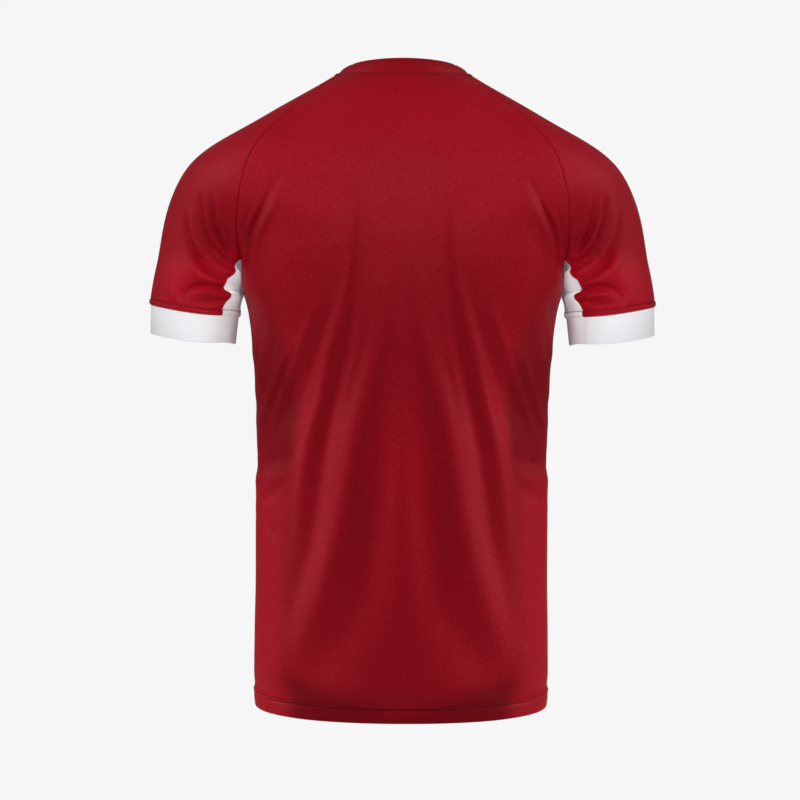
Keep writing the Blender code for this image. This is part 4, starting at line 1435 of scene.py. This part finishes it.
@dataclass
class Cuff:
    """A sleeve's cuff band, folded double at its lower edge."""

    side: Side
    ring: np.ndarray            # round the left sleeve's end
    drop_outer: tuple[float, float] = (1.5, -33.0)  # in X and Z, on the arm's outer side
    drop_inner: tuple[float, float] = (2.5, -30.5)  # the same, under the arm
    taper: float = 0.985
    inset: float = 1.1          # how far the cuff lies inside the sleeve's end
    gap: float = 0.6            # from the band's middle to each layer
    tuck: float = 2.5           # how far each layer runs on past the seam
    rows: int = 16
    thickness: float = 0.7
    cut: tuple[float, float] = (0.345, 0.072)

    def build(self) -> bpy.types.Object:
        """Make the band's shell, dress it and hide the cuff's solid."""
        ring = self.ring
        outer, inner = ring[:, 0].max(), ring[:, 0].min()
        share = ((ring[:, 0] - inner) / (outer - inner))[:, None]
        drop_outer = np.array((self.drop_outer[0], 0.0, self.drop_outer[1]))
        drop_inner = np.array((self.drop_inner[0], 0.0, self.drop_inner[1]))
        drop = share * drop_outer + (1 - share) * drop_inner
        centre = np.array(((outer + inner) / 2, 0.0, 0.0))
        end = (ring - centre) * (self.taper, self.taper, 1.0) + centre + drop
        height = np.linalg.norm(end - ring, axis=1)[:, None]
        down = (end - ring) / height
        around = np.gradient(ring[:-1], axis=0)
        around[0] = ring[1] - ring[-2]
        around[-1] = ring[0] - ring[-3]
        around = unit(np.vstack([around, around[:1]]))
        outward = unit(np.cross(down, around))
        if ((ring - centre) * outward)[:, :2].sum() < 0:
            outward = -outward
        rows = []
        for along, out in self.profile():
            reach = np.where(along < 0, along, along * (height - self.gap))
            rows.append(ring + down * reach + outward * (out - self.inset))
        cloth = Cloth(np.array(rows), ring=True)
        if self.side is Side.RIGHT:
            cloth = cloth.mirrored()
        finish_ring(cloth)
        piece = cloth_object(f"cuff_{self.side.word}_band", cloth, self.thickness)
        publish(piece, WHITE_JERSEY)
        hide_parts(f"cuff_{self.side.word}")
        return piece

    def profile(self) -> list[tuple[float, float]]:
        """Trace the band from its outer seam down, round the fold and up inside.

        Returns:
            Pairs of a place along the band and a distance outwards. A place from 0 to 1
            is a share of the band's height, and one under 0 is in millimetres above it.
        """
        layer = [(-self.tuck, self.gap)]
        layer += [(share, self.gap) for share in np.linspace(0.0, 1.0, self.rows)]
        reach = self.gap / -self.drop_outer[1]
        fold = [(1.0 + reach * math.sin(angle), self.gap * math.cos(angle))
                for angle in FOLD_ANGLES]
        inside = [(along, -out) for along, out in reversed(layer)]
        return layer + fold + inside


# The studio, in metres


def bearing(turn: float, rise: float) -> Vector:
    """Return the direction at a bearing from behind the jersey and a height, in degrees."""
    across, up = math.radians(turn), math.radians(rise)
    return Vector((math.sin(across) * math.cos(up), math.cos(across) * math.cos(up),
                   math.sin(up)))


@dataclass(frozen=True)
class Lamp:
    """A light that shines on one spot, from a bearing and a height."""

    name: str
    turn: float                 # degrees, 0 behind the jersey
    rise: float                 # degrees above level
    strength: float             # watts a square metre
    aim: tuple[float, float, float] = (0.0, 0.0, 0.0)
    away: float = 3.0           # from the aim
    glossy: bool = True         # whether it also shows as a sheen on the cloth
    kind: ClassVar[str] = ""

    def pair(self) -> tuple["Lamp", "Lamp"]:
        """Return this light for the wearer's left, and its mirror image for the right."""
        x, y, z = self.aim
        return (replace(self, name=f"{self.name}_left"),
                replace(self, name=f"{self.name}_right", aim=(-x, y, z), turn=-self.turn))

    def place(self) -> None:
        """Add the light to the scene."""
        light = bpy.data.lights.new(self.name, self.kind)
        self.shape(light)
        lamp = stand(self.name, light)
        toward = bearing(self.turn, self.rise)
        lamp.rotation_euler = toward.to_track_quat("Z", "Y").to_euler()
        lamp.location = Vector(self.aim) + toward * self.away
        lamp.visible_camera = False
        lamp.visible_glossy = self.glossy

    def shape(self, light: bpy.types.Light) -> None:
        """Give the light its size and strength."""
        raise NotImplementedError


@dataclass(frozen=True)
class FarLight(Lamp):
    """One large soft light, so far away that it is even all over."""

    softness: float = 40.0      # how wide it looks, in degrees
    kind: ClassVar[str] = "SUN"

    def shape(self, light: bpy.types.Light) -> None:
        """Give the light its size and strength."""
        light.energy = self.strength
        light.angle = math.radians(self.softness)


@dataclass(frozen=True)
class Softbox(Lamp):
    """A rectangular light with a grid, which keeps its beam narrow."""

    size: tuple[float, float] = (0.1, 0.1)
    spread: float = 180.0       # degrees
    faint: float = 1.0          # share of its light that is left at its top edge
    grade: float = 0.0          # share of its height over which it fades to that
    kind: ClassVar[str] = "AREA"

    def shape(self, light: bpy.types.Light) -> None:
        """Give the light its size and strength, and grade it where it fades."""
        light.shape = "RECTANGLE"
        light.size, light.size_y = self.size
        light.energy = self.strength * self.size[0] * self.size[1]
        light.spread = math.radians(self.spread)
        if self.grade:
            self.shade_top(light)

    def shade_top(self, light: bpy.types.Light) -> None:
        """Let the light fade towards its top edge, as through a graded cloth."""
        light.use_nodes = True
        tree = light.node_tree
        place = add_node(tree, "ShaderNodeNewGeometry").outputs["Parametric"]
        height = add_node(tree, "ShaderNodeSeparateXYZ", {0: place}).outputs["Y"]
        ramp = add_node(tree, "ShaderNodeMapRange",
                        {"Value": height, "From Min": 1.0, "From Max": 1.0 - self.grade})
        curved = add_node(tree, "ShaderNodeMath", {0: ramp.outputs["Result"], 1: 2.0},
                          operation="POWER")
        left = add_node(tree, "ShaderNodeMapRange",
                        {"Value": curved.outputs[0], "To Min": self.faint})
        tree.links.new(left.outputs["Result"], tree.nodes["Emission"].inputs["Strength"])


@dataclass
class Studio:
    """Plain pale floor, soft studio light and the camera."""

    floor_z: float = -1.5
    floor_size: float = 4.6
    floor_colour: str = "#F1F1F1"
    backdrop: str = "#F6F6F6"
    floor_glow: float = 0.4     # light that reaches the floor alone, from below the frame
    ambient: float = 0.27
    behind: float = 0.2         # share of it that comes from beyond the jersey
    dimming: tuple[float, float] = (-0.9, 0.1)  # Y of the directions over which it dims so
    lamps: tuple[Lamp, ...] = (
        # The two halves of the back are each lit from their own side
        *Softbox("key", 66, 20, 1.62, (0.065, 0.1035, -0.445), 0.5, size=(0.082, 0.469),
                 spread=3.2, faint=0.3, grade=0.42).pair(),
        *Softbox("hip", 66, 20, 1.78, (0.168, 0.025, -0.565), 0.5, size=(0.136, 0.35),
                 spread=3.2, faint=0.03, grade=0.26).pair(),
        *Softbox("shoulder", 66, 20, 1.0, (0.18, 0.04, -0.05), 0.8, size=(0.28, 0.19),
                 spread=6).pair(),
        *Softbox("upper_arm", 66, 18, 0.65, (0.25, 0.03, -0.21), 0.8, size=(0.11, 0.12),
                 spread=5).pair(),
        *Softbox("arm", -14, 8, 1.6, (0.25, 0.03, -0.272), 0.8, size=(0.14, 0.12),
                 spread=4).pair(),
        Softbox("fill", 0, 8, 1.5, (0.0, 0.1, -0.1), 1.1, size=(0.9, 0.3), spread=30),
        *FarLight("side", 80, 25, 0.8).pair(),
        *FarLight("far", 162, 14, 0.85, glossy=False, softness=60).pair(),
    )
    camera: tuple[float, float, float] = (0.0025, 2.6, -0.1886)
    pitch: float = -4.0         # degrees
    roll: float = 0.25          # degrees
    lens: float = 101.7         # mm

    def build(self) -> None:
        """Lay the floor, set the lights and place the camera."""
        self.lay_floor()
        self.set_world()
        for lamp in self.lamps:
            lamp.place()
        self.place_camera()
        bpy.context.scene.view_settings.view_transform = "Standard"

    def lay_floor(self) -> None:
        """Lay a large floor of pale matt paint, without a sheen, well below the jersey."""
        sheet = bmesh.new()
        bmesh.ops.create_grid(sheet, x_segments=1, y_segments=1, size=self.floor_size / 2,
                              matrix=Matrix.Translation((0.0, 0.0, self.floor_z)))
        floor = mesh_object("floor", sheet)
        material, tree, shader = new_material("studio_floor_paint_matt")
        shader.inputs["Base Color"].default_value = linear(self.floor_colour)
        shader.inputs["Roughness"].default_value = 1.0
        shader.inputs["Specular IOR Level"].default_value = 0.0
        shader.inputs["Emission Color"].default_value = linear(self.floor_colour)
        seen = add_node(tree, "ShaderNodeLightPath").outputs["Is Camera Ray"]
        lit = add_node(tree, "ShaderNodeMath", {0: seen, 1: self.floor_glow},
                       operation="MULTIPLY")
        tree.links.new(lit.outputs[0], shader.inputs["Emission Strength"])
        floor.data.materials.append(material)

    def set_world(self) -> None:
        """Light softly from all round, before a plain pale backdrop."""
        world = bpy.data.worlds.new("studio")
        world.use_nodes = True
        tree = world.node_tree
        backdrop = tree.nodes["Background"]
        backdrop.inputs["Color"].default_value = linear(self.backdrop)
        toward = add_node(tree, "ShaderNodeTexCoord").outputs["Generated"]
        depth = add_node(tree, "ShaderNodeSeparateXYZ", {0: toward}).outputs["Y"]
        dimmed = add_node(tree, "ShaderNodeMapRange",
                          {"Value": depth, "From Min": self.dimming[0],
                           "From Max": self.dimming[1],
                           "To Min": self.ambient * self.behind, "To Max": self.ambient})
        soft = add_node(tree, "ShaderNodeBackground",
                        {"Color": (1.0, 1.0, 1.0, 1.0), "Strength": dimmed.outputs["Result"]})
        seen = add_node(tree, "ShaderNodeLightPath").outputs["Is Camera Ray"]
        mixed = add_node(tree, "ShaderNodeMixShader",
                         {0: seen, 1: soft.outputs[0], 2: backdrop.outputs[0]})
        tree.links.new(mixed.outputs[0], tree.nodes["World Output"].inputs["Surface"])
        bpy.context.scene.world = world

    def place_camera(self) -> None:
        """Place the camera behind the jersey, level with its shoulder blades."""
        data = bpy.data.cameras.new("camera")
        data.lens = self.lens
        data.clip_end = 200.0
        camera = stand("camera", data)
        camera.location = self.camera
        pitch = math.radians(self.pitch)
        forward = Vector((0.0, -math.cos(pitch), math.sin(pitch)))
        turn = forward.to_track_quat("-Z", "Y").to_matrix()
        roll = Matrix.Rotation(math.radians(self.roll), 3, "Z")
        camera.rotation_euler = (turn @ roll).to_euler()
        bpy.context.scene.camera = camera


# The whole jersey


@dataclass
class Jersey:
    """The whole jersey: sewn sheets of cloth, draped together and then finished."""

    form: JerseyForm = field(default_factory=JerseyForm)
    drape: Drape = field(default_factory=Drape)
    seam_gap: float = 0.12
    neck_points: int = 281
    cuff_points: int = 181

    def build(self) -> list[bpy.types.Object]:
        """Cut, drape and sew every piece of the jersey, and return the pieces."""
        panels = self.draped_panels()
        stitching = self.stitching(panels)
        neck, cuff = self.seam_rings(panels)
        for panel in panels[:2]:
            panel.turn_up()
        share_normals([panel.cloth for panel in panels])
        for panel in panels:
            LOG.info("%s: %.4f m2 of cloth", panel.node, panel.cloth.area())
            panel.cloth.draw_in(self.seam_gap)
        bands = [Collar(neck), Cuff(Side.LEFT, cuff), Cuff(Side.RIGHT, cuff)]
        return [part.build() for part in (*panels, *bands, *stitching)]

    def draped_panels(self) -> list[Panel]:
        """Cut the panels, hang them together in folds, and raise their seams.

        Returns:
            The back, the front, both sleeves and both underarm panels, left before right.
        """
        form = self.form
        back, front, sleeve = form.torso(Face.BACK), form.torso(Face.FRONT), form.sleeve()
        underarm = form.underarm(back, front, sleeve)
        sheets = [back, front, sleeve, sleeve.mirrored(), underarm, underarm.mirrored()]
        self.drape.hang(sheets)
        share_normals(sheets)
        panels = [TorsoPanel("back", back, (0.505, 0.765), 0.33),
                  TorsoPanel("front", front, (0.51, 0.73), 0.317),
                  Sleeve("sleeve_left", sheets[2]), Sleeve("sleeve_right", sheets[3]),
                  Underarm("underarm_left", sheets[4]), Underarm("underarm_right", sheets[5])]
        for panel in panels:
            sheet = panel.cloth
            sheet.points = sheet.points + panel.relief()[:, :, None] * sheet.normals
        share_normals(sheets)
        return panels

    def seam_rings(self, panels: list[Panel]) -> tuple[np.ndarray, np.ndarray]:
        """Return the closed seams round the neck and round the left sleeve's end."""
        back, front, left, right, underarm, _ = [panel.cloth.points for panel in panels]
        return (closed_ring(back[0], left[0], front[0], right[0], count=self.neck_points),
                closed_ring(left[-1], underarm[0, ::-1], count=self.cuff_points))

    @staticmethod
    def stitching(panels: list[Panel]) -> list[StitchRow]:
        """Lay out every row of topstitching on the draped panels."""
        back, front, left, right, *underarms = panels
        neck = [panel.first_stitch_line() for panel in (back, left, front, right)]
        rows = [StitchRow("topstitch_neck", np.vstack(neck))]
        for side, sleeve, underarm in zip(Side, (left, right), underarms):
            outer = sleeve.last_stitch_line(sleeve.seams.strip_width)
            inner = underarm.first_stitch_line()[::-1]
            rows.append(StitchRow(f"topstitch_cuff_{side.word}", np.vstack([outer, inner])))
        for panel in (back, front):
            hem = panel.hem
            for number, level in enumerate((hem.height, hem.height + hem.twin), start=1):
                rows.append(StitchRow(f"topstitch_hem_{panel.node}_{number}",
                                      panel.last_stitch_line(level), thread=hem.thread))
        return rows


def main() -> None:
    """Build the jersey and its studio, and report each piece."""
    logging.basicConfig(level=logging.INFO, format="%(message)s")
    for piece in Jersey().build():
        LOG.info("%s: %d faces", piece.name, len(piece.data.polygons))
    Studio().build()


if __name__ == "__main__":
    main()
